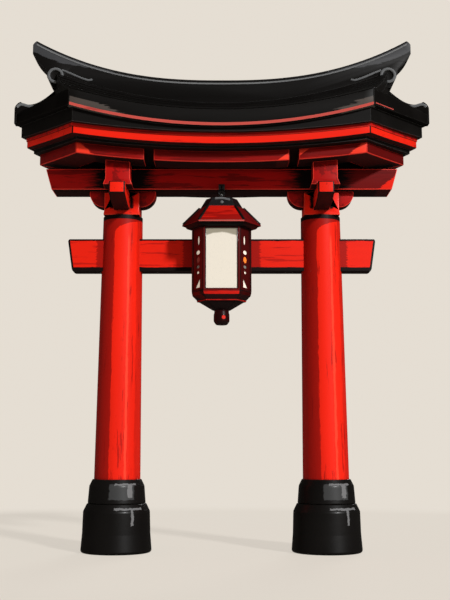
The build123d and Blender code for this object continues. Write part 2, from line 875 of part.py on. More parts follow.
with BuildPart() as lantern_panels:
    panel_y = body_half_depth - wall / 2
    with Locations(
        (0, lantern_y - panel_y, window_middle_z), (0, lantern_y + panel_y, window_middle_z)
    ):
        Box(
            front_window_width - 2 * panel_clearance, panel_thickness,
            window_height - 2 * panel_clearance,
        )
lantern_panels.part.label = "lantern_panels"
export_step(lantern_panels.part, "parts/lantern_panels.step")

with BuildPart() as lantern_side_panels:
    for sign_x, sign_y in corners:
        with BuildSketch(oblique_plane(sign_x, sign_y).offset(-wall / 2)):
            Rectangle(
                window_height - 2 * panel_clearance, side_window_width - 2 * panel_clearance
            )
        extrude(amount=panel_thickness / 2, both=True)
lantern_side_panels.part.label = "lantern_side_panels"
export_step(lantern_side_panels.part, "parts/lantern_side_panels.step")

with BuildPart() as lantern_roof:
    with BuildSketch(Plane((0, lantern_y, body_top_z))) as rim_outline:
        with BuildLine():
            Polyline(*body_plan, close=True)
        make_face()
        offset(amount=lantern_eave_overhang - lantern_rim_tuck, kind=Kind.INTERSECTION)
    with BuildSketch(Plane((0, lantern_y, lantern_eave_z))):
        with BuildLine():
            Polyline(*body_plan, close=True)
        make_face()
        offset(amount=lantern_eave_overhang, kind=Kind.INTERSECTION)
    loft(ruled=True)
    with BuildSketch(Plane((0, lantern_y, lantern_eave_z))):
        with BuildLine():
            Polyline(*body_plan, close=True)
        make_face()
        offset(amount=lantern_eave_overhang, kind=Kind.INTERSECTION)
    with BuildSketch(Plane((0, lantern_y, lantern_roof_top_z))):
        with BuildLine():
            Polyline(*lantern_plan(lantern_roof_top_share), close=True)
        make_face()
    loft(ruled=True)
lantern_roof.part.label = "lantern_roof"
export_step(lantern_roof.part, "parts/lantern_roof.step")

eye_z = head_low_z - bar_thickness - eye_radius - eye_wire + eye_sunk
ring_pivot_z = eye_z - eye_radius
ring_z = ring_pivot_z + eye_wire + ring_wire + link_gap - ring_radius
loop_pivot_z = ring_z - ring_radius
loop_z = loop_pivot_z + ring_wire + loop_wire + link_gap - loop_radius
crown_top_z = loop_z - loop_radius - loop_wire + loop_sunk

with BuildPart() as lantern_crown:
    with BuildSketch(Plane((0, lantern_y, lantern_roof_top_z))):
        with BuildLine():
            Polyline(*lantern_plan(crown_low_share), close=True)
        make_face()
    with BuildSketch(Plane((0, lantern_y, crown_top_z))):
        with BuildLine():
            Polyline(*lantern_plan(crown_top_share), close=True)
        make_face()
    loft(ruled=True)
    with Locations((0, lantern_y, loop_z)):
        Torus(loop_radius, loop_wire, rotation=(0, 90, 0))
lantern_crown.part.label = "lantern_crown"
export_step(lantern_crown.part, "parts/lantern_crown.step")

with BuildPart() as lantern_base:
    base_steps = (
        (body_low_z, 1.0), (base_rim_low_z, base_rim_share),
        (base_brow_z, base_brow_share), (base_low_z, base_foot_share),
    )
    for (upper_z, upper_share), (lower_z, lower_share) in zip(base_steps, base_steps[1:]):
        with BuildSketch(Plane((0, lantern_y, lower_z))):
            with BuildLine():
                Polyline(*lantern_plan(lower_share), close=True)
            make_face()
        with BuildSketch(Plane((0, lantern_y, upper_z))):
            with BuildLine():
                Polyline(*lantern_plan(upper_share), close=True)
            make_face()
        loft(ruled=True)
lantern_base.part.label = "lantern_base"
export_step(lantern_base.part, "parts/lantern_base.step")

with BuildPart() as lantern_finial:
    finial_section = Plane(origin=(0, lantern_y, base_low_z), x_dir=(1, 0, 0), z_dir=(0, -1, 0))
    with BuildSketch(finial_section):
        with BuildLine():
            FilletPolyline(
                (0, 0), (finial_neck_radius, 0), (finial_neck_radius, -finial_neck_height),
                (finial_radius, -finial_neck_height - finial_shoulder),
                (finial_radius, finial_belly_z), (finial_tip_radius, -finial_height),
                (0, -finial_height),
                radius=finial_rounding,
            )
            Line((0, -finial_height), (0, 0))
        make_face()
    revolve(axis=Axis((0, lantern_y, base_low_z), (0, 0, 1)))
lantern_finial.part.label = "lantern_finial"
export_step(lantern_finial.part, "parts/lantern_finial.step")

# ---------------------------------------------------------------- hanger

with BuildPart() as hanger_bar:
    bar_length = bar_back_y - lantern_y + bar_nose
    with Locations((0, bar_back_y - bar_length / 2, head_low_z - bar_thickness / 2)):
        Box(2 * bar_half_width, bar_length, bar_thickness)
    with Locations((0, lantern_y, eye_z)):
        Torus(eye_radius, eye_wire, rotation=(0, 90, 0))
hanger_bar.part.label = "hanger_bar"
export_step(hanger_bar.part, "parts/hanger_bar.step")

with BuildPart() as hanging_ring:
    with Locations((0, lantern_y, ring_z)):
        Torus(ring_radius, ring_wire, rotation=(90, 0, 0))
hanging_ring.part.label = "hanging_ring"
export_step(hanging_ring.part, "parts/hanging_ring.step")

print("ring pivot", 0, lantern_y, round(ring_pivot_z, 3))
print("loop pivot", 0, lantern_y, round(loop_pivot_z, 3))
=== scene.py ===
import logging
import math
from collections.abc import Callable, Sequence
from dataclasses import dataclass, replace
from enum import Enum
from functools import cached_property

import bpy
from mathutils import Matrix, Vector


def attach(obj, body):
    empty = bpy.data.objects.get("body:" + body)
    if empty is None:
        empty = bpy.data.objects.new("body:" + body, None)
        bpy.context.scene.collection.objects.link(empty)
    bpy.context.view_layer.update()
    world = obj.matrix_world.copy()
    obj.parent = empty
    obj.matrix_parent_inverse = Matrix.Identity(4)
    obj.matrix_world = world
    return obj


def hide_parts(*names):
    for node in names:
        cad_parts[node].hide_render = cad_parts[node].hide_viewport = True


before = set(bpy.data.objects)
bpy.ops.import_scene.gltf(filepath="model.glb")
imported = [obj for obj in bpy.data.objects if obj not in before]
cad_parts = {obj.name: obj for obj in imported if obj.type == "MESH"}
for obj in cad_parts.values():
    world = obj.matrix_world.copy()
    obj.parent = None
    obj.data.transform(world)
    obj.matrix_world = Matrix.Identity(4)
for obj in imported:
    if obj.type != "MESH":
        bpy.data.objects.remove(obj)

LOG = logging.getLogger("torii_gate")
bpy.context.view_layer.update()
ORIGIN = Vector((0.0, 0.0, 0.0))
QUARTER_TURN = math.radians(90.0)
Triple = tuple[float, float, float]
Colour = Triple
Piece = bpy.types.Object
Material = bpy.types.Material
Socket = bpy.types.NodeSocket
Test = Callable[[Vector], bool]


@dataclass(frozen=True)
class Way:
    """A side or a face of the gate: its name, and its sign along X or Y."""

    name: str
    sign: int


SIDES = (Way("left", -1), Way("right", 1))
FACES = (Way("front", -1), Way("rear", 1))


class Run(Enum):
    """The way a timber's grain and brush strokes run: stroke scales along X, Y and Z."""

    ACROSS = (0.9, 11.0, 11.0)
    FORWARD = (11.0, 0.9, 11.0)
    UPRIGHT = (11.0, 11.0, 0.9)
    EVEN = (5.0, 5.0, 5.0)


# ------------------------------------------------------------------ modelling helpers


def deselect_all() -> None:
    """Clear the selection."""
    for piece in bpy.context.selected_objects:
        piece.select_set(False)


def focus(piece: Piece) -> None:
    """Select one object alone and make it the active one.

    Args:
        piece: the object to select.
    """
    deselect_all()
    piece.select_set(True)
    bpy.context.view_layer.objects.active = piece


def link(piece: Piece) -> Piece:
    """Bring a new object into the scene."""
    bpy.context.scene.collection.objects.link(piece)
    return piece


def settle(piece: Piece) -> Piece:
    """Move an object's place, turn and scale into its mesh.

    Args:
        piece: the object to settle.

    Returns:
        The same object, now at the origin.
    """
    focus(piece)
    bpy.ops.object.transform_apply(location=True, rotation=True, scale=True)
    return piece


def primitive(add: Callable[..., object], name: str, **settings: object) -> Piece:
    """Add a starting mesh with nothing else selected.

    Args:
        add: the operator that adds it.
        name: name for the object.
        settings: its sizes and its place.

    Returns:
        The new object, at the origin.
    """
    deselect_all()
    add(**settings)
    piece = bpy.context.object
    piece.name = name
    return settle(piece)


def apply_modifier(piece: Piece, kind: str, **settings: object) -> None:
    """Add a modifier with the given settings and apply it.

    Args:
        piece: the object that gets the modifier.
        kind: the modifier's type.
        settings: values for its properties.
    """
    focus(piece)
    modifier = piece.modifiers.new(kind.lower(), kind)
    for name, value in settings.items():
        setattr(modifier, name, value)
    bpy.ops.object.modifier_apply(modifier=modifier.name)


def smooth(piece: Piece, degrees: float = 35.0) -> None:
    """Shade an object smooth, except over edges sharper than the given angle."""
    focus(piece)
    bpy.ops.object.shade_smooth_by_angle(angle=math.radians(degrees))


def in_edit_mode(piece: Piece, *steps: Callable[[], object]) -> None:
    """Run edit-mode steps, each on the whole of one object's mesh.

    Args:
        piece: the object to edit.
        steps: calls made in edit mode, with everything selected before each.
    """
    focus(piece)
    bpy.ops.object.mode_set(mode="EDIT")
    for step in steps:
        bpy.ops.mesh.select_all(action="SELECT")
        step()
    bpy.ops.object.mode_set(mode="OBJECT")


def stretch(piece: Piece, factors: Triple, centre: Sequence[float] = ORIGIN) -> None:
    """Scale a mesh about a point."""
    in_edit_mode(
        piece, lambda: bpy.ops.transform.resize(value=factors, center_override=centre)
    )


def turn_outwards(piece: Piece) -> None:
    """Turn the faces of a closed mesh outwards."""
    in_edit_mode(piece, lambda: bpy.ops.mesh.normals_make_consistent(inside=False))


def copy_of(node: str, name: str, dissolve: bool = False) -> Piece:
    """Make an editable copy of a frame node with its doubles merged.

    Args:
        node: name of the frame node.
        name: name for the copy.
        dissolve: whether flat neighbours become one face.

    Returns:
        The new object, at the origin.
    """
    piece = link(bpy.data.objects.new(name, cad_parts[node].data.copy()))
    piece.data.name = name
    piece.data.materials.clear()
    focus(piece)
    if piece.data.has_custom_normals:
        bpy.ops.mesh.customdata_custom_splitnormals_clear()
    in_edit_mode(piece, lambda: bpy.ops.mesh.remove_doubles(threshold=0.00002))
    if dissolve:
        in_edit_mode(piece, lambda: bpy.ops.mesh.dissolve_limited(angle_limit=math.radians(0.06)))
    return piece


def trim_strip(node: str, name: str, test: Test, height: float, thickness: float,
               centre: Vector = ORIGIN, drop: float = 0.0, **settings: object) -> Piece:
    """Draw a thin strip from those edges of a node whose two ends pass a test.

    Args:
        node: name of the frame node.
        name: name for the strip.
        test: says whether a corner belongs to the run of edges.
        height: how far the edges are drawn up, or down when it is negative.
        thickness: thickness of the strip.
        centre: what its faces look away from, level by level.
        drop: how far the run is lowered first.
        settings: more values for the thickness.

    Returns:
        The strip, at the origin.
    """
    piece = copy_of(node, name, dissolve=True)
    mesh = piece.data
    keep = [test(vertex.co) for vertex in mesh.vertices]
    bpy.context.tool_settings.mesh_select_mode = (False, True, False)
    for element in (*mesh.polygons, *mesh.vertices):
        element.select = False
    for edge in mesh.edges:
        edge.select = not (keep[edge.vertices[0]] and keep[edge.vertices[1]])
    bpy.ops.object.mode_set(mode="EDIT")
    bpy.ops.mesh.delete(type="EDGE")
    bpy.ops.mesh.select_all(action="SELECT")
    bpy.ops.mesh.delete(type="ONLY_FACE")
    bpy.ops.object.mode_set(mode="OBJECT")
    in_edit_mode(
        piece,
        lambda: bpy.ops.transform.translate(value=(0.0, 0.0, -drop)),
        lambda: bpy.ops.mesh.extrude_region_move(
            TRANSFORM_OT_translate={"value": (0.0, 0.0, height)}
        ),
    )
    bpy.context.tool_settings.mesh_select_mode = (True, False, False)
    turn_outwards(piece)
    face = piece.data.polygons[0]
    if face.normal.xy.dot((face.center - centre).xy) < 0.0:
        in_edit_mode(piece, bpy.ops.mesh.flip_normals)
    apply_modifier(piece, "SOLIDIFY", thickness=thickness, **settings)
    return piece


def turned(name: str, profile: Sequence[tuple[float, float]], centre: Vector,
           steps: int) -> Piece:
    """Spin an outline of radius and height pairs about an upright axis.

    Args:
        name: name for the object.
        profile: radius and height of each corner, from the bottom up.
        centre: where the axis stands.
        steps: divisions of the turn.

    Returns:
        The turned solid, at the origin.
    """
    piece = primitive(bpy.ops.mesh.primitive_plane_add, name, size=0.01)
    piece.data.clear_geometry()
    corners = [(centre.x + radius, centre.y, centre.z + height) for radius, height in profile]
    piece.data.from_pydata(corners, [(i, i + 1) for i in range(len(corners) - 1)], [])
    in_edit_mode(
        piece,
        lambda: bpy.ops.mesh.spin(
            steps=steps, angle=math.tau, center=centre, axis=(0.0, 0.0, 1.0)
        ),
        lambda: bpy.ops.mesh.remove_doubles(threshold=0.0001),
        lambda: bpy.ops.mesh.normals_make_consistent(inside=False),
    )
    smooth(piece)
    return piece


def bar(name: str, size: Triple, centre: Vector, bevel: float) -> Piece:
    """Make a straight bar with eased edges.

    Args:
        name: name for the object.
        size: length along X, Y and Z.
        centre: middle of the bar.
        bevel: width of the eased edge.

    Returns:
        The bar, at the origin.
    """
    piece = primitive(
        bpy.ops.mesh.primitive_cube_add, name, size=1.0, location=centre, scale=size
    )
    apply_modifier(piece, "BEVEL", width=bevel, segments=2)
    smooth(piece)
    return piece


def rod(name: str, start: Vector, end: Vector, radius: float, squash: float = 1.0) -> Piece:
    """Make an eight-sided rod between two points, as deep as it is wide or flatter.

    Args:
        name: name for the object.
        start: one end.
        end: the other end.
        radius: half its width.
        squash: depth of the section over its width.

    Returns:
        The rod, at the origin.
    """
    way = end - start
    piece = primitive(
        bpy.ops.mesh.primitive_cylinder_add, name, vertices=8, radius=radius,
        depth=way.length, end_fill_type="NGON",
    )
    piece.scale = (1.0, squash, 1.0)
    piece.rotation_mode = "QUATERNION"
    piece.rotation_quaternion = way.to_track_quat("Z", "Y")
    piece.location = (start + end) / 2
    settle(piece)
    apply_modifier(piece, "BEVEL", width=radius * 0.25, segments=2, limit_method="ANGLE",
                   angle_limit=math.radians(50))
    smooth(piece, 40)
    return piece


def disc(name: str, sides: int, radius: float, depth: float, x: float, z: float) -> Piece:
    """Make a disc that faces the front.

    Args:
        name: name for the object.
        sides: number of its flats.
        radius: its radius.
        depth: its thickness.
        x: place of its middle along X.
        z: height of its middle.

    Returns:
        The disc, at the origin.
    """
    return primitive(
        bpy.ops.mesh.primitive_cylinder_add, name, vertices=sides, radius=radius,
        depth=depth, location=(x, 0.0, z), rotation=(QUARTER_TURN, 0.0, 0.0),
    )


def moulded_line(name: str, route: Sequence[Triple], radius: float,
                 flatten: float = 1.0) -> Piece:
    """Make a rounded moulding along a smooth line.

    Args:
        name: name for the object.
        route: points that the line follows.
        radius: half its width.
        flatten: scale of its depth along Y about its own middle.

    Returns:
        The moulding as a mesh, at the origin.
    """
    line = bpy.data.curves.new(name, "CURVE")
    line.dimensions = "3D"
    line.bevel_depth = radius
    line.bevel_resolution = 3
    line.resolution_u = 8
    line.use_fill_caps = True
    spline = line.splines.new("NURBS")
    spline.points.add(len(route) - 1)
    for point, place in zip(spline.points, route):
        point.co = (*place, 1.0)
    spline.order_u = 3
    spline.use_endpoint_u = True
    focus(link(bpy.data.objects.new(name, line)))
    bpy.ops.object.convert(target="MESH")
    piece = bpy.context.object
    stretch(piece, (1.0, flatten, 1.0), (0.0, sum(place[1] for place in route) / len(route), 0.0))
    smooth(piece, 50)
    return piece


def join(name: str, pieces: Sequence[Piece]) -> Piece:
    """Join two or more objects into one and name it.

    Args:
        name: name for the joined object.
        pieces: the objects to join.

    Returns:
        The joined object.
    """
    focus(pieces[0])
    for piece in pieces:
        piece.select_set(True)
    bpy.ops.object.join()
    pieces[0].name = name
    pieces[0].data.name = name
    return pieces[0]


def dress(piece: Piece, body: str, slot: str, *finishes: Material,
          stands_for: str | None = None) -> Piece:
    """Give a finished piece its materials and its body, and hide the node that it stands for.

    Args:
        piece: the finished object.
        body: the body that it rides on.
        slot: the material slot of the record; not used.
        finishes: its materials, the main one first.
        stands_for: the frame node that it takes the place of.

    Returns:
        The same object.
    """
    for finish in finishes:
        piece.data.materials.append(finish)
    if stands_for is not None:
        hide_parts(stands_for)
    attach(piece, body)
    LOG.info("%s: %d faces, rides on %s", piece.name, len(piece.data.polygons), body)
    return piece


def eased(node: str, body: str, slot: str, width: float, *finishes: Material,
          whole: bool = False) -> Piece:
    """Replace a node by a copy whose arrises are eased and worn.

    Args:
        node: the frame node.
        body: the body that it rides on.
        slot: the material slot of the record.
        width: width of the eased arris.
        finishes: the face finishes, and last that of the arrises.
        whole: whether each flat face is made one before its edges are eased.

    Returns:
        The copy.
    """
    piece = copy_of(node, f"{node}_timber", dissolve=whole)
    for finish in finishes:
        piece.data.materials.append(finish)
    apply_modifier(
        piece, "BEVEL", width=width, segments=2, limit_method="ANGLE",
        angle_limit=math.radians(32), use_clamp_overlap=False, material=len(finishes) - 1,
    )
    smooth(piece)
    return dress(piece, body, slot, stands_for=node)


def keep_node(node: str, finish: Material) -> None:
    """Keep a frame node as it is and give it a finish.

    Args:
        node: name of the frame node.
        finish: its finish.
    """
    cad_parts[node].data.materials.clear()
    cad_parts[node].data.materials.append(finish)
    LOG.info("%s: kept, %s", node, finish.name)


# ------------------------------------------------------------------ shader effects


class Signal:
    """A value on its way through a node tree; arithmetic on it adds the nodes it needs."""

    def __init__(self, bench: "NodeBench", socket: Socket) -> None:
        """Take the value that leaves a socket."""
        self.bench = bench
        self.socket = socket

    def __add__(self, other: object) -> "Signal":
        """Add a value."""
        return self.bench.math("ADD", self, other)

    def __sub__(self, other: object) -> "Signal":
        """Take a value away."""
        return self.bench.math("SUBTRACT", self, other)

    def __rsub__(self, other: float) -> "Signal":
        """Take it away from a number."""
        return self.bench.math("SUBTRACT", other, self)

    def __mul__(self, other: object) -> "Signal":
        """Multiply by a value."""
        return self.bench.math("MULTIPLY", self, other)

    def __truediv__(self, other: float) -> "Signal":
        """Divide by a number."""
        return self.bench.math("DIVIDE", self, other)

    def __pow__(self, power: float) -> "Signal":
        """Raise to a power."""
        return self.bench.math("POWER", self, power)

    def __abs__(self) -> "Signal":
        """Drop the sign."""
        return self.bench.math("ABSOLUTE", self)

    def __or__(self, other: object) -> "Signal":
        """Take the larger of two values."""
        return self.bench.math("MAXIMUM", self, other)

    def rise(self, low: float, high: float) -> "Signal":
        """Rise smoothly from zero at one value to one at another."""
        return self.bench.value(
            "MapRange", 0, self, low, high, interpolation_type="SMOOTHSTEP"
        )

    def fall(self, low: float, high: float) -> "Signal":
        """Fall smoothly from one at one value to zero at another."""
        return 1.0 - self.rise(low, high)

    def between(self, low: float, high: float, soft: float) -> "Signal":
        """Open a window between two values, with soft edges of a given length."""
        return self.rise(low, low + soft) * self.fall(high, high + soft)


def in_words(name: str) -> str:
    """Turn a name of the script into a socket's label."""
    return name.replace("_", " ").capitalize()


class NodeBench:
    """Adds and joins the nodes of one tree, in columns from left to right."""

    def __init__(self, tree: bpy.types.NodeTree) -> None:
        """Take the tree to work on."""
        self.tree = tree
        self.column = 0

    def add(self, kind: str, *values: object, **settings: object) -> bpy.types.Node:
        """Add a node.

        Args:
            kind: the node's type name, after the word ShaderNode.
            values: signals or numbers for its first inputs.
            settings: values for its properties.

        Returns:
            The new node.
        """
        node = self.tree.nodes.new(f"ShaderNode{kind}")
        node.location = (180.0 * self.column, -120.0 * (self.column % 4))
        self.column += 1
        for name, value in settings.items():
            setattr(node, name, value)
        for socket, value in zip(node.inputs, values):
            self.feed(socket, value)
        return node

    def feed(self, socket: Socket, value: object) -> None:
        """Join a socket to a signal, or set it to a plain value.

        Args:
            socket: the input.
            value: a signal, a number, a colour or a vector.
        """
        if isinstance(value, Signal):
            self.tree.links.new(value.socket, socket)
        elif isinstance(value, tuple) and socket.type == "RGBA":
            socket.default_value = (*value, 1.0)
        else:
            socket.default_value = value

    def value(self, kind: str, output: str | int, *values: object,
              **settings: object) -> Signal:
        """Add a node and take one of its outputs.

        Args:
            kind: the node's type name, after the word ShaderNode.
            output: name or number of the output.
            values: signals or numbers for its first inputs.
            settings: values for its properties.

        Returns:
            What the output gives.
        """
        return Signal(self, self.add(kind, *values, **settings).outputs[output])

    def math(self, operation: str, *values: object) -> Signal:
        """Add a math node for an operation on the given values."""
        return self.value("Math", 0, *values, operation=operation)

    def clamped(self, operation: str, first: Signal, second: Signal) -> Signal:
        """Add a math node that keeps its result between zero and one."""
        return self.value("Math", 0, first, second, operation=operation, use_clamp=True)

    def distance(self, first: Signal, second: Triple) -> Signal:
        """Measure how far one place is from another."""
        return self.value("VectorMath", "Value", first, second, operation="DISTANCE")

    def blend(self, amount: Signal, first: object, second: object) -> Signal:
        """Mix two colours: the first shows at zero and the second at one.

        Args:
            amount: how much of the second colour shows.
            first: the colour at zero.
            second: the colour at one.

        Returns:
            The mixed colour.
        """
        node = self.add("Mix", amount, data_type="RGBA")
        self.feed(node.inputs[6], first)
        self.feed(node.inputs[7], second)
        return Signal(self, node.outputs[2])

    def mapped(self, vector: Signal, scale: Triple, turn: Triple = (0.0, 0.0, 0.0)) -> Signal:
        """Turn and scale a vector."""
        return self.value("Mapping", 0, vector, (0.0, 0.0, 0.0), turn, scale)

    def noise(self, vector: Signal, scale: object, detail: float, roughness: float) -> Signal:
        """Add a noise texture.

        Args:
            vector: where it is read.
            scale: its scale.
            detail: its octaves.
            roughness: how strong the fine octaves are.

        Returns:
            Its value.
        """
        node = self.add("TexNoise", vector)
        self.feed(node.inputs["Scale"], scale)
        self.feed(node.inputs["Detail"], detail)
        self.feed(node.inputs["Roughness"], roughness)
        return Signal(self, node.outputs["Fac"])

    def group(self, effect: bpy.types.NodeTree, **values: object) -> list[Signal]:
        """Place a node group.

        Args:
            effect: the group's tree.
            values: signals or numbers for its inputs, by name.

        Returns:
            What its outputs give.
        """
        node = self.add("Group", node_tree=effect)
        for name, value in values.items():
            self.feed(node.inputs[in_words(name)], value)
        return [Signal(self, socket) for socket in node.outputs]


class EffectBench(NodeBench):
    """Bench of a node group with named inputs and outputs."""

    def __init__(self, name: str, **inputs: float | None) -> None:
        """Start a group with its inputs; one without a value takes a vector.

        Args:
            name: the group's name.
            inputs: names and values of its inputs.
        """
        super().__init__(bpy.data.node_groups.new(name, "ShaderNodeTree"))
        for label, value in inputs.items():
            kind = "NodeSocketVector" if value is None else "NodeSocketFloat"
            socket = self.tree.interface.new_socket(
                in_words(label), in_out="INPUT", socket_type=kind
            )
            if value is not None:
                socket.default_value = value
        given = self.tree.nodes.new("NodeGroupInput")
        self.given = [Signal(self, given.outputs[in_words(label)]) for label in inputs]

    def finish(self, **outputs: Signal) -> bpy.types.NodeTree:
        """Name what the group gives and return its tree.

        Args:
            outputs: what it gives, by name.

        Returns:
            The group's tree.
        """
        for label in outputs:
            self.tree.interface.new_socket(
                in_words(label), in_out="OUTPUT", socket_type="NodeSocketFloat"
            )
        made = self.tree.nodes.new("NodeGroupOutput")
        for label, value in outputs.items():
            self.feed(made.inputs[in_words(label)], value)
        return self.tree


class Effects:
    """Shader effects that several finishes share, each built once as a node group."""

    def __init__(self) -> None:
        """Build every group."""
        self.strokes = self.brush_strokes()
        self.corners = self.corner_painted_shade()
        self.edges = self.edge_wear()
        self.under = self.underside_painted_shade()

    @staticmethod
    def brush_strokes() -> bpy.types.NodeTree:
        """Strokes drawn out along a timber, with broad patches and a relief.

        Returns:
            The group's tree.
        """
        bench = EffectBench("brush_strokes", vector=None, fineness=1.0, coverage=0.3)
        vector, fineness, coverage = bench.given
        broad = bench.noise(vector, fineness, 5.0, 0.6)
        fine = bench.noise(vector, fineness * 4.3, 5.0, 0.7)
        patches = bench.noise(vector, fineness * 0.31, 2.0, 0.5)
        over = broad + fine * 0.25 - (0.88 - coverage * 0.5)
        return bench.finish(
            strokes=over.rise(0.0, 0.05), bristles=fine, patches=patches.rise(0.38, 0.66),
            relief=broad * 0.5 + fine,
        )

    @staticmethod
    def corner_painted_shade() -> bpy.types.NodeTree:
        """Painted shade and dirt where two pieces meet, darkened from ambient occlusion.

        Returns:
            The group's tree.
        """
        bench = EffectBench("corner_painted_shade", reach=0.1, strength=1.0)
        reach, strength = bench.given
        hollow = bench.add("AmbientOcclusion", samples=8)
        bench.feed(hollow.inputs["Distance"], reach)
        closed = 1.0 - Signal(bench, hollow.outputs["AO"])
        return bench.finish(grime=bench.clamped("MULTIPLY", closed.rise(0.22, 0.72), strength))

    @staticmethod
    def edge_wear() -> bpy.types.NodeTree:
        """Paint rubbed thin along the arrises, broken up by a noise.

        Returns:
            The group's tree.
        """
        bench = EffectBench("edge_wear", vector=None, width=0.012, break_up=0.5)
        vector, width, break_up = bench.given
        rounded = bench.value("Bevel", "Normal", width, samples=4)
        straight = bench.value("NewGeometry", "True Normal")
        alike = bench.value("VectorMath", "Value", rounded, straight, operation="DOT_PRODUCT")
        held = (bench.noise(vector, 9.0, 5.0, 0.7) - 0.5) * break_up
        return bench.finish(wear=(1.0 - alike + held).rise(0.05, 0.22))

    @staticmethod
    def underside_painted_shade() -> bpy.types.NodeTree:
        """Painted shade, near black, on faces that look down.

        Returns:
            The group's tree.
        """
        bench = EffectBench("underside_painted_shade", strength=1.0)
        normal = bench.value("NewGeometry", "True Normal")
        down = bench.value("SeparateXYZ", "Z", normal) * -1.0
        return bench.finish(soot=down.rise(0.2, 0.7) * bench.given[0])


EFFECTS = Effects()


# ------------------------------------------------------------------ marks on the finishes


@dataclass(frozen=True)
class CrestLine:
    """Top line of the ridge: it rises with a power of the distance from the middle."""

    middle_z: float = 4.681
    rise: float = 0.417
    half_span: float = 1.886
    power: float = 2.5

    def height(self, x: float) -> float:
        """Height of the crest at a distance from the middle."""
        return self.middle_z + self.rise * (abs(x) / self.half_span) ** self.power


@dataclass(frozen=True)
class SagLine:
    """A line that sags: its height at the middle and its rise at a half span."""

    middle_z: float
    rise: float
    half_span: float

    def height(self, x: float) -> float:
        """Height of the line at a distance from the middle."""
        radius = (self.half_span**2 + self.rise**2) / (2.0 * self.rise)
        return self.middle_z + radius - math.sqrt(radius**2 - x**2)


CREST = CrestLine()
EAVE = SagLine(3.935, 0.200, 1.410)
DRUM_TOP_Z = 0.460
COLLAR_TOP_Z = 0.690
PILLAR_X = 1.013
PILLAR_LEAN = 0.0082
UNLINED_LOW_Z = 2.757
UNLINED_TOP_Z = 3.022
# Height where a pillar's painted shade starts to widen under its block and its painted highlight
# fades.
NECK_LOW_Z = 2.98
NECK_SHADOW_Z = 3.226
BRACKET_X = 0.990
HEAD_LOW_Z = 3.531
HEAD_TOP_Z = 3.740


class Coat:
    """A material in the making."""

    def __init__(self, name: str, base: Colour) -> None:
        """Start a material with its base colour.

        Args:
            name: the material's name.
            base: the colour below all others.
        """
        self.material = bpy.data.materials.new(name)
        self.material.use_nodes = True
        self.bench = NodeBench(self.material.node_tree)
        self.shader = self.material.node_tree.nodes["Principled BSDF"]
        self.place = self.bench.value("TexCoord", "Object")
        self.colour: object = base

    @cached_property
    def axes(self) -> list[Signal]:
        """The place along X, Y and Z."""
        split = self.bench.add("SeparateXYZ", self.place)
        return [Signal(self.bench, socket) for socket in split.outputs]

    def lay(self, amount: Signal, colour: Colour) -> None:
        """Lay a colour over what is there."""
        self.colour = self.bench.blend(amount, self.colour, colour)

    def finish(self, relief: Signal, strength: float, depth: float,
               values: dict[str, object]) -> Material:
        """Give the shader its colour, its relief and its other values.

        Args:
            relief: height of the relief.
            strength: how strongly it shows.
            depth: how deep it is, in metres.
            values: signals or numbers for other inputs, by their labels.

        Returns:
            The finished material.
        """
        bump = self.bench.add("Bump", strength, depth)
        self.bench.feed(bump.inputs["Height"], relief)
        values["Base Color"] = self.colour
        values["Normal"] = Signal(self.bench, bump.outputs["Normal"])
        for label, value in values.items():
            self.bench.feed(self.shader.inputs[label], value)
        return self.material


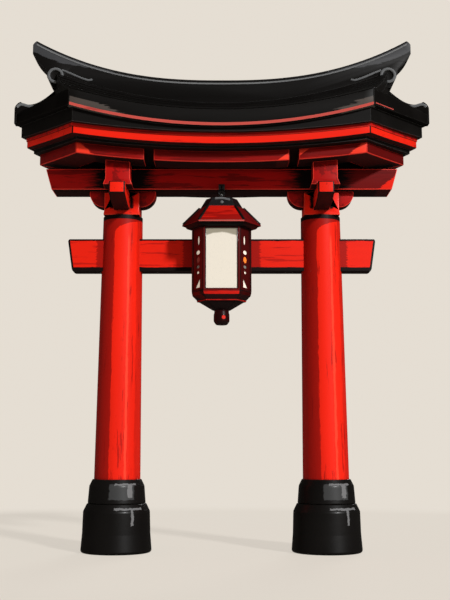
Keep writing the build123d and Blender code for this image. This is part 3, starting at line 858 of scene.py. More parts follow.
class Brushwork(Coat):
    """A brushed coat, and the stains, painted shade, shadows, highlights and sheen that follow its
    strokes.
    """

    def __init__(self, name: str, base: Colour, run: Run, fineness: float,
                 coverage: float) -> None:
        """Start a material and brush it.

        Args:
            name: the material's name.
            base: the colour below all others.
            run: the way the strokes run.
            fineness: how fine they are.
            coverage: how much of the surface they cover.
        """
        super().__init__(name, base)
        self.strokes, self.bristles, self.patches, self.relief = self.bench.group(
            EFFECTS.strokes, vector=self.bench.mapped(self.place, run.value),
            fineness=fineness, coverage=coverage,
        )

    @cached_property
    def streak(self) -> Signal:
        """The bristles' marks, about zero."""
        return self.bristles - 0.5

    @cached_property
    def turn(self) -> Signal:
        """Way a point on a pillar or foot looks, in radians from the front to the right.

        Returns:
            The angle, which holds for the left and the right pillar.
        """
        x, y, z = self.axes
        axis = ((z - DRUM_TOP_Z | 0.0) * -PILLAR_LEAN + PILLAR_X) * self.bench.math("SIGN", x)
        return self.bench.math("ARCTAN2", x - axis, y * -1.0)

    @cached_property
    def side(self) -> Signal:
        """How far round to the right a point on a pillar lies, from -1 to 1."""
        return self.bench.math("SINE", self.turn)

    def pillar_painted_shade(self) -> Signal:
        """Painted shade round the left of a pillar and under its block, a painted darker edge on
        its right, and dark drips over its foot.

        Returns:
            How strongly it shows.
        """
        z = self.axes[2]
        neck = z.rise(NECK_LOW_Z, NECK_LOW_Z + 0.30) ** 4.0
        # Painted shade on the left of the pillar, arching to the right under the block.
        old = (neck * 1.9 + self.streak * 0.26 - self.side).rise(0.28, 0.31) * 0.80
        # Painted shade down the pillar's right edge.
        far = (self.streak * 0.30 + self.side).rise(0.74, 0.80) * 0.34
        drips = ((z - COLLAR_TOP_Z) * -1.1 + self.streak).rise(0.02, 0.05) * 0.65
        return old | far | drips

    def neck_painted_shadow(self) -> Signal:
        """Painted shadow: a black band round the neck of a pillar, under its bearing block."""
        return self.axes[2].rise(NECK_SHADOW_Z, NECK_SHADOW_Z + 0.006)

    def pillar_painted_highlight(self) -> Signal:
        """Painted highlight: a brighter line that runs up a pillar right of its middle."""
        line = (self.streak * 0.16 + self.side).between(0.34, 0.44, 0.03)
        return line * 0.55 * self.axes[2].fall(NECK_LOW_Z, NECK_LOW_Z + 0.12)

    def block_painted_shadow(self) -> Signal:
        """Painted shadow on a bearing block round the arm that leaves it.

        Returns:
            How strongly it shows.
        """
        x, _, z = self.axes
        beside = self.streak * 0.06 + abs(abs(x) - BRACKET_X)
        return (self.streak * 0.05 + z).rise(3.325, 3.340) * beside.fall(0.105, 0.125)

    def bracket_painted_shadow(self) -> Signal:
        """Painted shadow: dark streaks that run out along a beam from the bracket sets."""
        from_bracket = abs(abs(self.axes[0]) - BRACKET_X)
        return (self.streak * 0.55 + from_bracket).fall(0.22, 0.38)

    def end_painted_shade(self) -> Signal:
        """Painted shade: darker streaks over the right end of the head beam."""
        return (self.streak * 0.7 + self.axes[0]).rise(1.16, 1.34) * 0.88

    def end_painted_light(self) -> Signal:
        """Painted light: bright red in the low corner of the head beam's right end.

        Returns:
            How strongly it shows.
        """
        x, _, z = self.axes
        corner = (z - HEAD_LOW_Z) * -1.3 + (self.streak * 0.12 + x)
        return corner.rise(1.545, 1.560) * 0.85

    def tie_painted_shadow(self) -> Signal:
        """Painted shadow beside the pillars and behind the lantern on the tie beam."""
        ragged = self.streak * 0.10 + abs(self.axes[0])
        return (ragged.fall(0.375, 0.390) | ragged.between(1.10, 1.235, 0.010)) * 0.75

    def edge_lining(self) -> Signal:
        """Black lining brushed along the low and high edges of the tie beam."""
        height = self.streak * 0.020 + self.axes[2]
        return 1.0 - height.between(UNLINED_LOW_Z, UNLINED_TOP_Z, 0.004)

    def finial_painted_glints(self) -> Signal:
        """Painted glints: bright red spots on the finial's dark lacquer.

        Returns:
            How strongly they show.
        """
        large = self.bench.distance(self.place, (0.020, -0.400, 2.222)).fall(0.017, 0.020)
        small = self.bench.distance(self.place, (0.0, -0.386, 2.302)).fall(0.00935, 0.011)
        return (large | small) * 0.9

    def kink_painted_light(self) -> Signal:
        """Painted light on a purlin's front, just inside its corner, and a lit patch near the
        right end of the middle purlin.

        Returns:
            How strongly it shows.
        """
        x, _, z = self.axes
        up = z - HEAD_TOP_Z
        ragged = self.streak * 0.10 + (up * -1.1 + abs(x))
        far_end = (up * -1.4 + x).between(0.615, 0.76, 0.008)
        return (ragged.rise(1.215, 1.225) | far_end) * 0.9

    def eave_painted_sheen(self) -> Signal:
        """Painted sheen: grey just above the eave edge, close to the roof's corners.

        Returns:
            How strongly they show.
        """
        x, _, z = self.axes
        ragged = self.streak * 0.5 + (x * -1.0 | x * 0.87)
        above = z - EAVE.middle_z - x * x * (EAVE.rise / EAVE.half_span**2)
        reach = ragged.rise(1.05, 1.10) * 0.034 + 0.056
        return ragged.rise(0.92, 0.98) * (reach - above).rise(0.0, 0.008) * 0.8

    def horn_painted_sheen(self) -> Signal:
        """Painted sheen: grey below the crest line of the ridge, deeper towards the horns.

        Returns:
            How strongly it shows.
        """
        x, _, z = self.axes
        along = abs(x)
        crest = (along / CREST.half_span) ** CREST.power * CREST.rise + CREST.middle_z
        below = crest - z
        reach = along.rise(1.15, 1.85) * 0.095 + 0.035
        shown = (self.streak * 0.06 + (reach - below)).rise(0.0, 0.006)
        towards_horn = (self.streak * 0.7 + along).rise(1.08, 1.14)
        return shown * towards_horn * below.rise(0.016, 0.020) * 0.9

    def foot_painted_sheen(self) -> Signal:
        """Painted reflection: broad grey patches on the collars and drums, front right.

        Returns:
            How strongly they show.
        """
        turn = self.streak * 0.16 + self.turn
        height = self.streak * 0.035 + self.axes[2]
        return turn.between(-0.20, 0.72, 0.04) * height.between(0.500, 0.645, 0.006) * 0.9

    def foot_painted_highlights(self) -> Signal:
        """Painted highlights: brighter upright and level strokes round the broad patches.

        Returns:
            How strongly they show.
        """
        turn = self.streak * 0.16 + self.turn
        height = self.streak * 0.035 + self.axes[2]
        strokes = [
            turn.between(left, right, 0.02) * height.between(low, high, 0.004)
            for left, right, low, high in (
                (0.00, 0.96, 0.407, 0.426), (0.53, 0.61, 0.265, 0.426),
                (0.00, 0.86, 0.636, 0.652), (0.47, 0.66, 0.520, 0.652),
            )
        ]
        return (strokes[0] | strokes[1] | strokes[2] | strokes[3]) * 0.85


Mark = tuple[Callable[[Brushwork], Signal], Colour]


# ------------------------------------------------------------------ finishes


VERMILION: Colour = (0.80, 0.015, 0.004)
DEEP: Colour = (0.50, 0.006, 0.004)
HEAD: Colour = (0.40, 0.005, 0.004)
DARK_STROKE: Colour = (0.30, 0.004, 0.003)
# Old red strokes; also the colour of painted shade on the pillars and painted shadow on the tie
# beam.
OLD_STROKE_AND_SHADE: Colour = (0.22, 0.003, 0.002)
# Near black red strokes; also the painted shade on the head beam's right end.
NIGHT_STROKE_AND_SHADE: Colour = (0.10, 0.003, 0.003)
SALMON: Colour = (0.80, 0.085, 0.045)
# Near black for painted shade and painted shadow, and for the black lining.
SHADE_AND_LINING_BLACK: Colour = (0.007, 0.003, 0.003)


@dataclass(frozen=True)
class TimberPaint:
    """Oil paint brushed on timber, with strokes, rubbed arrises, and painted shade in its corners
    and underneath.
    """

    name: str
    base: Colour
    stroke: Colour
    rubbed: Colour = SALMON
    run: Run = Run.ACROSS
    coverage: float = 0.3
    stroke_strength: float = 0.6
    rub_width: float = 0.010
    rub_strength: float = 0.6
    # Reach and strength of the painted shade in corners, and strength of the painted shade
    # underneath.
    grime_reach: float = 0.07
    grime_strength: float = 0.9
    soot: float = 0.97
    roughness: float = 0.5
    coat: float = 0.05
    below: tuple[Mark, ...] = ()
    above: tuple[Mark, ...] = ()

    def make(self) -> Material:
        """Build the material, with marks below and above its painted shade underneath and in
        corners.

        Returns:
            The material.
        """
        work = Brushwork(self.name, self.base, self.run, 1.6, self.coverage)
        # Painted shade in corners and where pieces meet.
        [grime] = work.bench.group(
            EFFECTS.corners, reach=self.grime_reach, strength=self.grime_strength
        )
        [wear] = work.bench.group(
            EFFECTS.edges, vector=work.place, width=self.rub_width, break_up=0.25
        )
        # Painted shade on faces that look down.
        [soot] = work.bench.group(EFFECTS.under, strength=self.soot)
        work.lay(work.patches * 0.16, self.stroke)
        work.lay(work.strokes * self.stroke_strength, self.stroke)
        work.lay(wear * self.rub_strength, self.rubbed)
        for mark, colour in self.below:
            work.lay(mark(work), colour)
        work.lay(soot, SHADE_AND_LINING_BLACK)
        work.lay(grime, SHADE_AND_LINING_BLACK)
        for mark, colour in self.above:
            work.lay(mark(work), colour)
        dull = work.bristles * 0.22 + (self.roughness - 0.11)
        return work.finish(work.relief, 0.35, 0.0012, {
            "Roughness": work.bench.clamped("ADD", dull, soot), "Specular IOR Level": 0.08,
            "Coat Weight": self.coat, "Coat Roughness": 0.14,
        })


@dataclass(frozen=True)
class BlackLacquer:
    """Black lacquer with faint brown depth, dust, grey where it is rubbed, and painted sheen where
    marks are given.
    """

    name: str
    run: Run = Run.ACROSS
    rub_strength: float = 0.35
    base: Colour = (0.0045, 0.0038, 0.0034)
    dusty: Colour = (0.0080, 0.0070, 0.0064)
    rubbed: Colour = (0.13, 0.13, 0.13)
    rub_width: float = 0.012
    roughness: float = 0.46
    specular: float = 0.10
    coat: float = 0.0
    coat_roughness: float = 0.1
    # Marks of painted sheen, highlight and reflection.
    sheen_marks: tuple[Mark, ...] = ()

    def make(self) -> Material:
        """Build the material.

        Returns:
            The material.
        """
        work = Brushwork(self.name, self.base, self.run, 1.1, 0.35)
        [wear] = work.bench.group(
            EFFECTS.edges, vector=work.place, width=self.rub_width, break_up=0.3
        )
        work.lay(work.patches * 0.5, self.dusty)
        work.lay(wear * self.rub_strength, self.rubbed)
        for mark, colour in self.sheen_marks:
            work.lay(mark(work), colour)
        return work.finish(work.relief, 0.3, 0.001, {
            "Roughness": work.bristles * 0.2 + (self.roughness - 0.1),
            "Specular IOR Level": self.specular,
            "Coat Weight": self.coat, "Coat Roughness": self.coat_roughness,
        })


@dataclass(frozen=True)
class WroughtIron:
    """Hammered black iron with a dull shine, a little rust, and a painted glint on the hanging
    ring.
    """

    name: str = "black_iron"
    glint_place: Triple = (0.0, -0.345, 3.434)
    glint_radius: float = 0.017

    def make(self) -> Material:
        """Build the material.

        Returns:
            The material.
        """
        work = Coat(self.name, (0.012, 0.012, 0.013))
        bench = work.bench
        hammered = bench.add("TexVoronoi", work.place, feature="SMOOTH_F1")
        hammered.inputs["Scale"].default_value = 70.0
        rust = bench.noise(work.place, 24.0, 6.0, 0.65).rise(0.56, 0.72)
        [wear] = bench.group(EFFECTS.edges, vector=work.place, width=0.004, break_up=0.3)
        work.lay(rust * 0.35, (0.045, 0.022, 0.014))
        work.lay(wear * 0.7, (0.17, 0.17, 0.17))
        # Painted glint: a pale spot on the ring.
        gap = bench.distance(work.place, self.glint_place)
        work.lay(bench.math("LESS_THAN", gap, self.glint_radius), (0.42, 0.42, 0.40))
        return work.finish(Signal(bench, hammered.outputs["Distance"]), 0.4, 0.001, {
            "Metallic": 0.6, "Roughness": rust * 0.3 + 0.38,
        })


@dataclass(frozen=True)
class LanternPaper:
    """Oiled paper with long fibres, greyed above a given height by painted shade, and with a
    painted glow where given.
    """

    name: str
    base: Colour = (0.74, 0.69, 0.60)
    shaded: Colour = (0.25, 0.225, 0.165)
    low_z: float = 3.2
    high_z: float = 3.3
    bow: float = 1.3
    # Painted glow: the paper gives light though no lamp is inside.
    glow: Colour = (1.0, 1.0, 1.0)
    glow_strength: float = 0.0

    def make(self) -> Material:
        """Build the material.

        Returns:
            The material.
        """
        work = Coat(self.name, self.base)
        bench = work.bench
        x, _, z = work.axes
        drawn = bench.mapped(work.place, (30.0, 30.0, 9.0), (0.0, 0.5, 0.0))
        fibres = bench.noise(drawn, 6.0, 7.0, 0.75)
        cloud = bench.noise(work.place, 11.0, 3.0, 0.5)
        ragged = (cloud - 0.5) * 0.03 + (x * x * self.bow + z)
        work.lay(fibres.rise(0.52, 0.7), tuple(0.86 * value for value in self.base))
        # Painted shade greying the paper above low_z.
        work.lay(ragged.rise(self.low_z, self.high_z) * 0.9, self.shaded)
        return work.finish(fibres, 0.25, 0.0006, {
            "Roughness": 0.75, "Specular IOR Level": 0.2,
            "Emission Color": self.glow, "Emission Strength": self.glow_strength,
        })


class Palette:
    """Every finish of the gate, made once."""

    def __init__(self) -> None:
        """Make the materials."""
        self.paint_timber()
        self.paint_lantern()
        lacquer = BlackLacquer("black_roof_lacquer")
        self.roof = lacquer.make()
        self.roof_end = replace(
            lacquer, name="black_roof_end_lacquer", rub_strength=0.15, roughness=0.78,
            specular=0.02,
        ).make()
        # The eave edge carries a painted sheen near the roof's corners.
        self.roof_edge = replace(
            lacquer, name="black_roof_edge_lacquer",
            sheen_marks=((Brushwork.eave_painted_sheen, (0.085, 0.070, 0.062)),),
        ).make()
        # The ridge carries a painted sheen below its crest.
        self.ridge = replace(
            lacquer, name="black_ridge_lacquer",
            sheen_marks=((Brushwork.horn_painted_sheen, (0.052, 0.053, 0.057)),),
        ).make()
        self.boards = BlackLacquer(
            "black_roof_boards", Run.FORWARD, rub_strength=0.05, rub_width=0.003
        ).make()
        self.lining = BlackLacquer(
            "black_lining", Run.EVEN, rub_strength=0.15, rub_width=0.004
        ).make()
        # Grey lacquer for the ridge line, boss rings, prow beads and crown glints, each a painted
        # highlight.
        self.highlight_grey = BlackLacquer(
            "highlight_grey_lacquer", base=(0.14, 0.145, 0.15), dusty=(0.07, 0.072, 0.076),
            rubbed=(0.26, 0.26, 0.26), rub_strength=0.8,
        ).make()
        # The feet carry a painted reflection and painted highlights.
        self.foot = BlackLacquer(
            "black_foot_lacquer", Run.EVEN, roughness=0.42, specular=0.12, coat=0.20,
            coat_roughness=0.26, rub_width=0.016, rub_strength=0.15,
            sheen_marks=((Brushwork.foot_painted_sheen, (0.045, 0.046, 0.047)),
                    (Brushwork.foot_painted_highlights, (0.17, 0.17, 0.175))),
        ).make()
        self.iron = WroughtIron().make()

    def paint_timber(self) -> None:
        """Make the reds of the gate's timbers."""
        plain = TimberPaint("vermilion_beam", VERMILION, DARK_STROKE)
        self.beam = plain.make()
        self.nose = replace(plain, name="vermilion_bracket", run=Run.FORWARD).make()
        # The bearing blocks carry a painted shadow round the arm.
        self.block = replace(
            plain, name="vermilion_block", run=Run.EVEN, grime_reach=0.09,
            above=((Brushwork.block_painted_shadow, SHADE_AND_LINING_BLACK),),
        ).make()
        # The tie beam carries painted shadow beside the pillars and behind the lantern, and black
        # lining.
        self.tie = replace(
            plain, name="vermilion_tie_beam",
            below=((Brushwork.tie_painted_shadow, OLD_STROKE_AND_SHADE), (Brushwork.edge_lining, SHADE_AND_LINING_BLACK)),
        ).make()
        # Pillar marks: a painted highlight line, painted shade round the left and under the block,
        # and a painted shadow band at the neck.
        self.pillar = TimberPaint(
            "vermilion_pillar", VERMILION, OLD_STROKE_AND_SHADE, run=Run.UPRIGHT, coverage=0.32,
            grime_reach=0.12, coat=0.2,
            above=((Brushwork.pillar_painted_highlight, (1.0, 0.075, 0.035)),
                   (Brushwork.pillar_painted_shade, OLD_STROKE_AND_SHADE), (Brushwork.neck_painted_shadow, SHADE_AND_LINING_BLACK)),
        ).make()
        deep = TimberPaint("deep_red_beam", DEEP, NIGHT_STROKE_AND_SHADE, coverage=0.45, grime_reach=0.16)
        self.deep = deep.make()
        # Darker copies of the deep red for the purlins' ends, a painted shade.
        self.painted_shade_end = replace(deep, name="deep_red_painted_shade_end", base=(0.20, 0.003, 0.0025)).make()
        self.painted_deep_shade_end = replace(deep, name="dark_red_painted_shade_end", base=(0.10, 0.0018, 0.0016)).make()
        # The purlins carry painted light just inside their corners.
        self.purlin = replace(
            deep, name="deep_red_purlin", base=(0.25, 0.004, 0.003), coverage=0.5,
            rubbed=(0.90, 0.045, 0.020), rub_strength=0.25,
            below=((Brushwork.kink_painted_light, (0.90, 0.045, 0.020)),),
        ).make()
        # The head beam carries painted shade on its right end with a painted lit corner, and
        # painted shadow from the brackets.
        self.head = replace(
            deep, name="deep_red_head_beam", base=HEAD, coverage=0.50, stroke_strength=0.7,
            roughness=0.66, coat=0.0,
            below=((Brushwork.end_painted_shade, NIGHT_STROKE_AND_SHADE), (Brushwork.end_painted_light, VERMILION)),
            above=((Brushwork.bracket_painted_shadow, SHADE_AND_LINING_BLACK),),
        ).make()
        self.deep_block = replace(
            deep, name="deep_red_block", base=HEAD, run=Run.EVEN, coverage=0.5
        ).make()
        # Lighter reds on eased arrises: worn paint, and also painted highlight lines along the
        # edges.
        self.beam_arris = TimberPaint(
            "vermilion_arris", (0.82, 0.05, 0.025), VERMILION, soot=0.3, grime_strength=0.4
        ).make()
        self.deep_arris = TimberPaint(
            "deep_red_arris", (0.80, 0.04, 0.025), DEEP, soot=0.2, grime_strength=0.3
        ).make()
        self.purlin_arris = TimberPaint(
            "purlin_arris", (0.50, 0.022, 0.014), DEEP, soot=0.2, grime_strength=0.6
        ).make()
        self.faded = TimberPaint(
            "faded_red_edge", (0.50, 0.070, 0.055), (0.26, 0.022, 0.02), (0.50, 0.13, 0.11),
            grime_strength=0.5, roughness=0.6, coat=0.0,
        ).make()

    def paint_lantern(self) -> None:
        """Make the reds and the papers of the lantern."""
        self.lantern_red = TimberPaint(
            "lantern_vermilion", (0.52, 0.009, 0.004), OLD_STROKE_AND_SHADE, grime_reach=0.03,
            rub_width=0.004, coverage=0.55, stroke_strength=0.8,
        ).make()
        maroon = TimberPaint(
            "lantern_maroon", (0.125, 0.004, 0.004), (0.02, 0.002, 0.002), (0.5, 0.03, 0.02),
            run=Run.UPRIGHT, grime_reach=0.03, rub_width=0.004, coat=0.04, roughness=0.45,
        )
        self.lantern_maroon = maroon.make()
        # A darker copy of the maroon, a painted shade on the lantern's right side.
        self.lantern_shade_maroon = replace(
            maroon, name="lantern_painted_shade_maroon", base=(0.050, 0.003, 0.003),
            stroke=(0.012, 0.002, 0.002), rubbed=(0.35, 0.02, 0.015),
        ).make()
        self.lantern_night = replace(
            maroon, name="lantern_night_red", base=(0.028, 0.002, 0.002),
            stroke=(0.006, 0.002, 0.002), rubbed=(0.30, 0.012, 0.01), rub_width=0.003,
            rub_strength=0.4, coat=0.5, roughness=0.30,
        ).make()
        # The finial carries painted glints.
        self.finial = replace(
            maroon, name="lantern_finial_lacquer", base=(0.020, 0.002, 0.002),
            stroke=(0.006, 0.002, 0.002), rubbed=(0.72, 0.030, 0.018), rub_width=0.002,
            rub_strength=0.1, coat=0.3, roughness=0.34,
            below=((Brushwork.finial_painted_glints, (0.72, 0.030, 0.018)),),
        ).make()
        # The window paper greys at its top with painted shade from the lantern's eave.
        self.paper = LanternPaper("lantern_paper", low_z=3.018, high_z=3.034).make()
        # Painted glow on the side papers.
        self.side_paper = LanternPaper(
            "side_paper", glow=(0.9, 0.75, 0.6), glow_strength=0.35
        ).make()
        # Painted glow on the amber panes.
        self.amber = LanternPaper(
            "amber_pane", (0.75, 0.16, 0.02), glow=(1.0, 0.25, 0.03), glow_strength=0.4
        ).make()
        self.smoke = LanternPaper("smoke_pane", (0.20, 0.20, 0.18)).make()
        self.rosy = LanternPaper("rosy_pane", (0.30, 0.05, 0.04)).make()


# ------------------------------------------------------------------ stage


@dataclass(frozen=True)
class Viewpoint:
    """Where the camera stands and how it looks at the gate, in metres and degrees."""

    distance: float = 10.0
    eye_height: float = 1.0
    side_step: float = 0.033
    tilt: float = 8.215
    lens: float = 61.0

    def place(self) -> None:
        """Make the camera and hand it to the scene."""
        data = bpy.data.cameras.new("viewpoint")
        data.lens = self.lens
        data.sensor_width = 36.0
        camera = link(bpy.data.objects.new("viewpoint", data))
        camera.location = (self.side_step, -self.distance, self.eye_height)
        camera.rotation_euler = (QUARTER_TURN + math.radians(self.tilt), 0.0, 0.0)
        bpy.context.scene.camera = camera


@dataclass(frozen=True)
class Studio:
    """Plain pale floor that fades into a pale surround, a key light and weak fills."""

    cream: Colour = (0.785, 0.728, 0.650)
    ambient: float = 0.25
    mirrored: float = 0.06
    lamp_distance: float = 12.0
    key_aim: Triple = (35.0, 26.0, 6.0)
    key_energy: float = 3.1
    back_aim: Triple = (165.0, 35.0, 20.0)
    back_energy: float = 0.8
    strip_azimuth: float = 47.0
    strip_distance: float = 5.0
    strip_width: float = 0.22
    strip_length: float = 4.6
    strip_low_z: float = 0.5
    strip_energy: float = 3.5
    floor_glow: float = 0.75
    floor_radius: float = 40.0
    fade_start: float = 2.6
    fade_end: float = 8.0

    def lamp(self, name: str, aim: Triple, energy: float) -> None:
        """Add an even light that shines from one direction.

        Args:
            name: the lamp's name.
            aim: degrees from the front towards the right and above level, and its spread.
            energy: its strength.
        """
        azimuth, elevation, spread = (math.radians(angle) for angle in aim)
        data = bpy.data.lights.new(name, "SUN")
        data.energy = energy
        data.angle = spread
        lamp = link(bpy.data.objects.new(name, data))
        towards = Vector((
            math.sin(azimuth) * math.cos(elevation), -math.cos(azimuth) * math.cos(elevation),
            math.sin(elevation),
        ))
        lamp.location = towards * self.lamp_distance
        lamp.rotation_euler = towards.to_track_quat("Z", "Y").to_euler()

    def strip_light(self) -> None:
        """Stand a narrow upright light panel at the right, for a line of shine on round parts."""
        data = bpy.data.lights.new("strip", "AREA")
        data.shape = "RECTANGLE"
        data.size = self.strip_width
        data.size_y = self.strip_length
        data.energy = self.strip_energy
        lamp = link(bpy.data.objects.new("strip", data))
        turn = math.radians(self.strip_azimuth)
        lamp.location = (
            self.strip_distance * math.sin(turn), -self.strip_distance * math.cos(turn),
            self.strip_length / 2.0 + self.strip_low_z,
        )
        lamp.rotation_euler = (QUARTER_TURN, 0.0, turn)
        lamp.visible_camera = False

    def surround(self) -> None:
        """Make the pale surround, which lights the gate less than it shows."""
        world = bpy.data.worlds.new("pale_surround")
        bpy.context.scene.world = world
        world.use_nodes = True
        bench = NodeBench(world.node_tree)
        light = world.node_tree.nodes["Background"]
        seen = bench.value("LightPath", "Is Camera Ray") * (1.0 - self.ambient)
        shine = bench.value("LightPath", "Is Glossy Ray") * (self.mirrored - self.ambient)
        bench.feed(light.inputs["Color"], self.cream)
        bench.feed(light.inputs["Strength"], seen + self.ambient + shine)

    def floor(self) -> None:
        """Make the floor, which shows from above only."""
        floor = primitive(
            bpy.ops.mesh.primitive_circle_add, "studio_floor", vertices=96,
            radius=self.floor_radius, fill_type="NGON",
        )
        coat = Coat("pale_floor", self.cream)
        bench = coat.bench
        for label, value in (("Base Color", self.cream), ("Roughness", 0.9),
                             ("Specular IOR Level", 0.1)):
            bench.feed(coat.shader.inputs[label], value)
        reach = bench.value("VectorMath", "Value", coat.place, operation="LENGTH")
        away = reach.rise(self.fade_start, self.fade_end) | self.floor_glow
        lit = Signal(bench, coat.shader.outputs[0])
        mixed = bench.value("MixShader", 0, away, lit, bench.value("Emission", 0, self.cream))
        facing = bench.value("NewGeometry", "Backfacing")
        clear = bench.value("BsdfTransparent", 0)
        output = coat.material.node_tree.nodes["Material Output"]
        bench.feed(output.inputs[0], bench.value("MixShader", 0, facing, mixed, clear))
        floor.data.materials.append(coat.material)
        floor.visible_glossy = False

    def set_up(self) -> None:
        """Make the surround, the floor and the lamps."""
        self.surround()
        self.floor()
        self.lamp("key", self.key_aim, self.key_energy)
        self.lamp("back", self.back_aim, self.back_energy)
        self.strip_light()
        bpy.context.scene.view_settings.view_transform = "Standard"


# ------------------------------------------------------------------ lines of the roof


@dataclass(frozen=True)
class LongHexagon:
    """Plan with long front and rear sides and a pointed prow at each end."""

    kink: float
    half_depth: float
    prow: float

    def holds(self, corner: Vector, slack: float = 0.003) -> bool:
        """Say whether a corner lies on the outline of the plan.

        Args:
            corner: the corner.
            slack: how far off it may lie.

        Returns:
            Whether it does.
        """
        past = max(abs(corner.x) - self.kink, 0.0)
        depth = self.half_depth * (1.0 - past / (self.prow - self.kink))
        return abs(abs(corner.y) - depth) < slack


# ------------------------------------------------------------------ sub-assemblies


@dataclass(frozen=True)
class Feet:
    """Black lacquered drums and collars that the pillars stand in."""

    palette: Palette

    def build(self) -> None:
        """Dress the drums and collars."""
        for side in SIDES:
            keep_node(f"{side.name}_foot_drum", self.palette.foot)
            keep_node(f"{side.name}_foot_collar", self.palette.foot)


@dataclass(frozen=True)
class Posts:
    """The pillars and the tie beam that passes through them."""

    palette: Palette
    arris: float = 0.020

    def build(self) -> None:
        """Dress the pillars and ease the tie beam."""
        colours = self.palette
        for side in SIDES:
            keep_node(f"{side.name}_pillar", colours.pillar)
        eased("tie_beam", "gate", "vermilion", self.arris, colours.tie, colours.lining)


@dataclass(frozen=True)
class HeadWork:
    """Head beam, frieze and the bracket sets."""

    palette: Palette
    arris: float = 0.007
    block_arris: float = 0.006
    nose_arris: float = 0.012

    def build(self) -> None:
        """Ease and paint every timber."""
        colours = self.palette
        eased("head_beam", "gate", "deep_red", self.arris, colours.head, colours.deep_arris)
        # The frieze board is black, a painted shade between the head beam and the purlins.
        keep_node("frieze_board", colours.roof)
        deep = (colours.deep_block, colours.deep_arris)
        for side in SIDES:
            eased(f"{side.name}_side_bracket_arm", "gate", "deep_red", self.block_arris, *deep)
            eased(f"{side.name}_cross_bracket_arm", "gate", "vermilion", self.nose_arris,
                  colours.nose, colours.lining)
            eased(f"{side.name}_bearing_block", "gate", "vermilion", self.block_arris,
                  colours.block, colours.beam_arris, whole=True)
            eased(f"{side.name}_small_blocks", "gate", "vermilion", self.block_arris, *deep)


@dataclass(frozen=True)
class Eaves:
    """Purlins, eave bands and the boarded deck."""

    palette: Palette
    arris: float = 0.008
    band_plan: LongHexagon = LongHexagon(1.390, 0.850, 1.980)
    band_low: SagLine = SagLine(3.787, 0.213, 1.980)
    band_top: SagLine = SagLine(3.892, 0.207, 1.980)
    moulding_height: float = 0.030
    moulding_depth: float = 0.007

    def on_band_top(self, corner: Vector) -> bool:
        """Say whether a corner lies on the upper edge of an eave band."""
        middle = (self.band_low.height(corner.x) + self.band_top.height(corner.x)) / 2.0
        return self.band_plan.holds(corner) and corner.z > middle

    def purlin(self, node: str) -> None:
        """Ease a purlin and paint its left and its right end darker, as painted shade.

        Args:
            node: the frame node.
        """
        colours = self.palette
        purlin = eased(node, "gate", "deep_red", self.arris, colours.purlin,
                       colours.painted_shade_end, colours.painted_deep_shade_end, colours.purlin_arris)
        # End faces take the darker copies, a painted shade; the right end darkest.
        for side in purlin.data.polygons:
            if side.material_index == 0 and abs(side.normal.x) > 0.5:
                side.material_index = 1 if side.normal.x < 0.0 else 2

    def build(self) -> None:
        """Build the eaves, with a thin dark moulding along the top of each band."""
        colours = self.palette
        # The deck is black, a painted shade under the eaves.
        keep_node("soffit_deck", colours.roof)
        for face in FACES:
            for part in ("centre", "left", "right"):
                self.purlin(f"{face.name}_{part}_purlin")
            band = f"{face.name}_eave_band"
            eased(band, "gate", "vermilion", self.arris, colours.beam, colours.lining)
            # The moulding's deep red also stands for the shade under the roof's edge, a painted
            # shade.
            moulding = trim_strip(
                band, f"{face.name}_band_moulding", self.on_band_top, -self.moulding_height,
                self.moulding_depth, offset=1.0, use_even_offset=True,
            )
            smooth(moulding)
            dress(moulding, "gate", "deep_red", colours.deep)


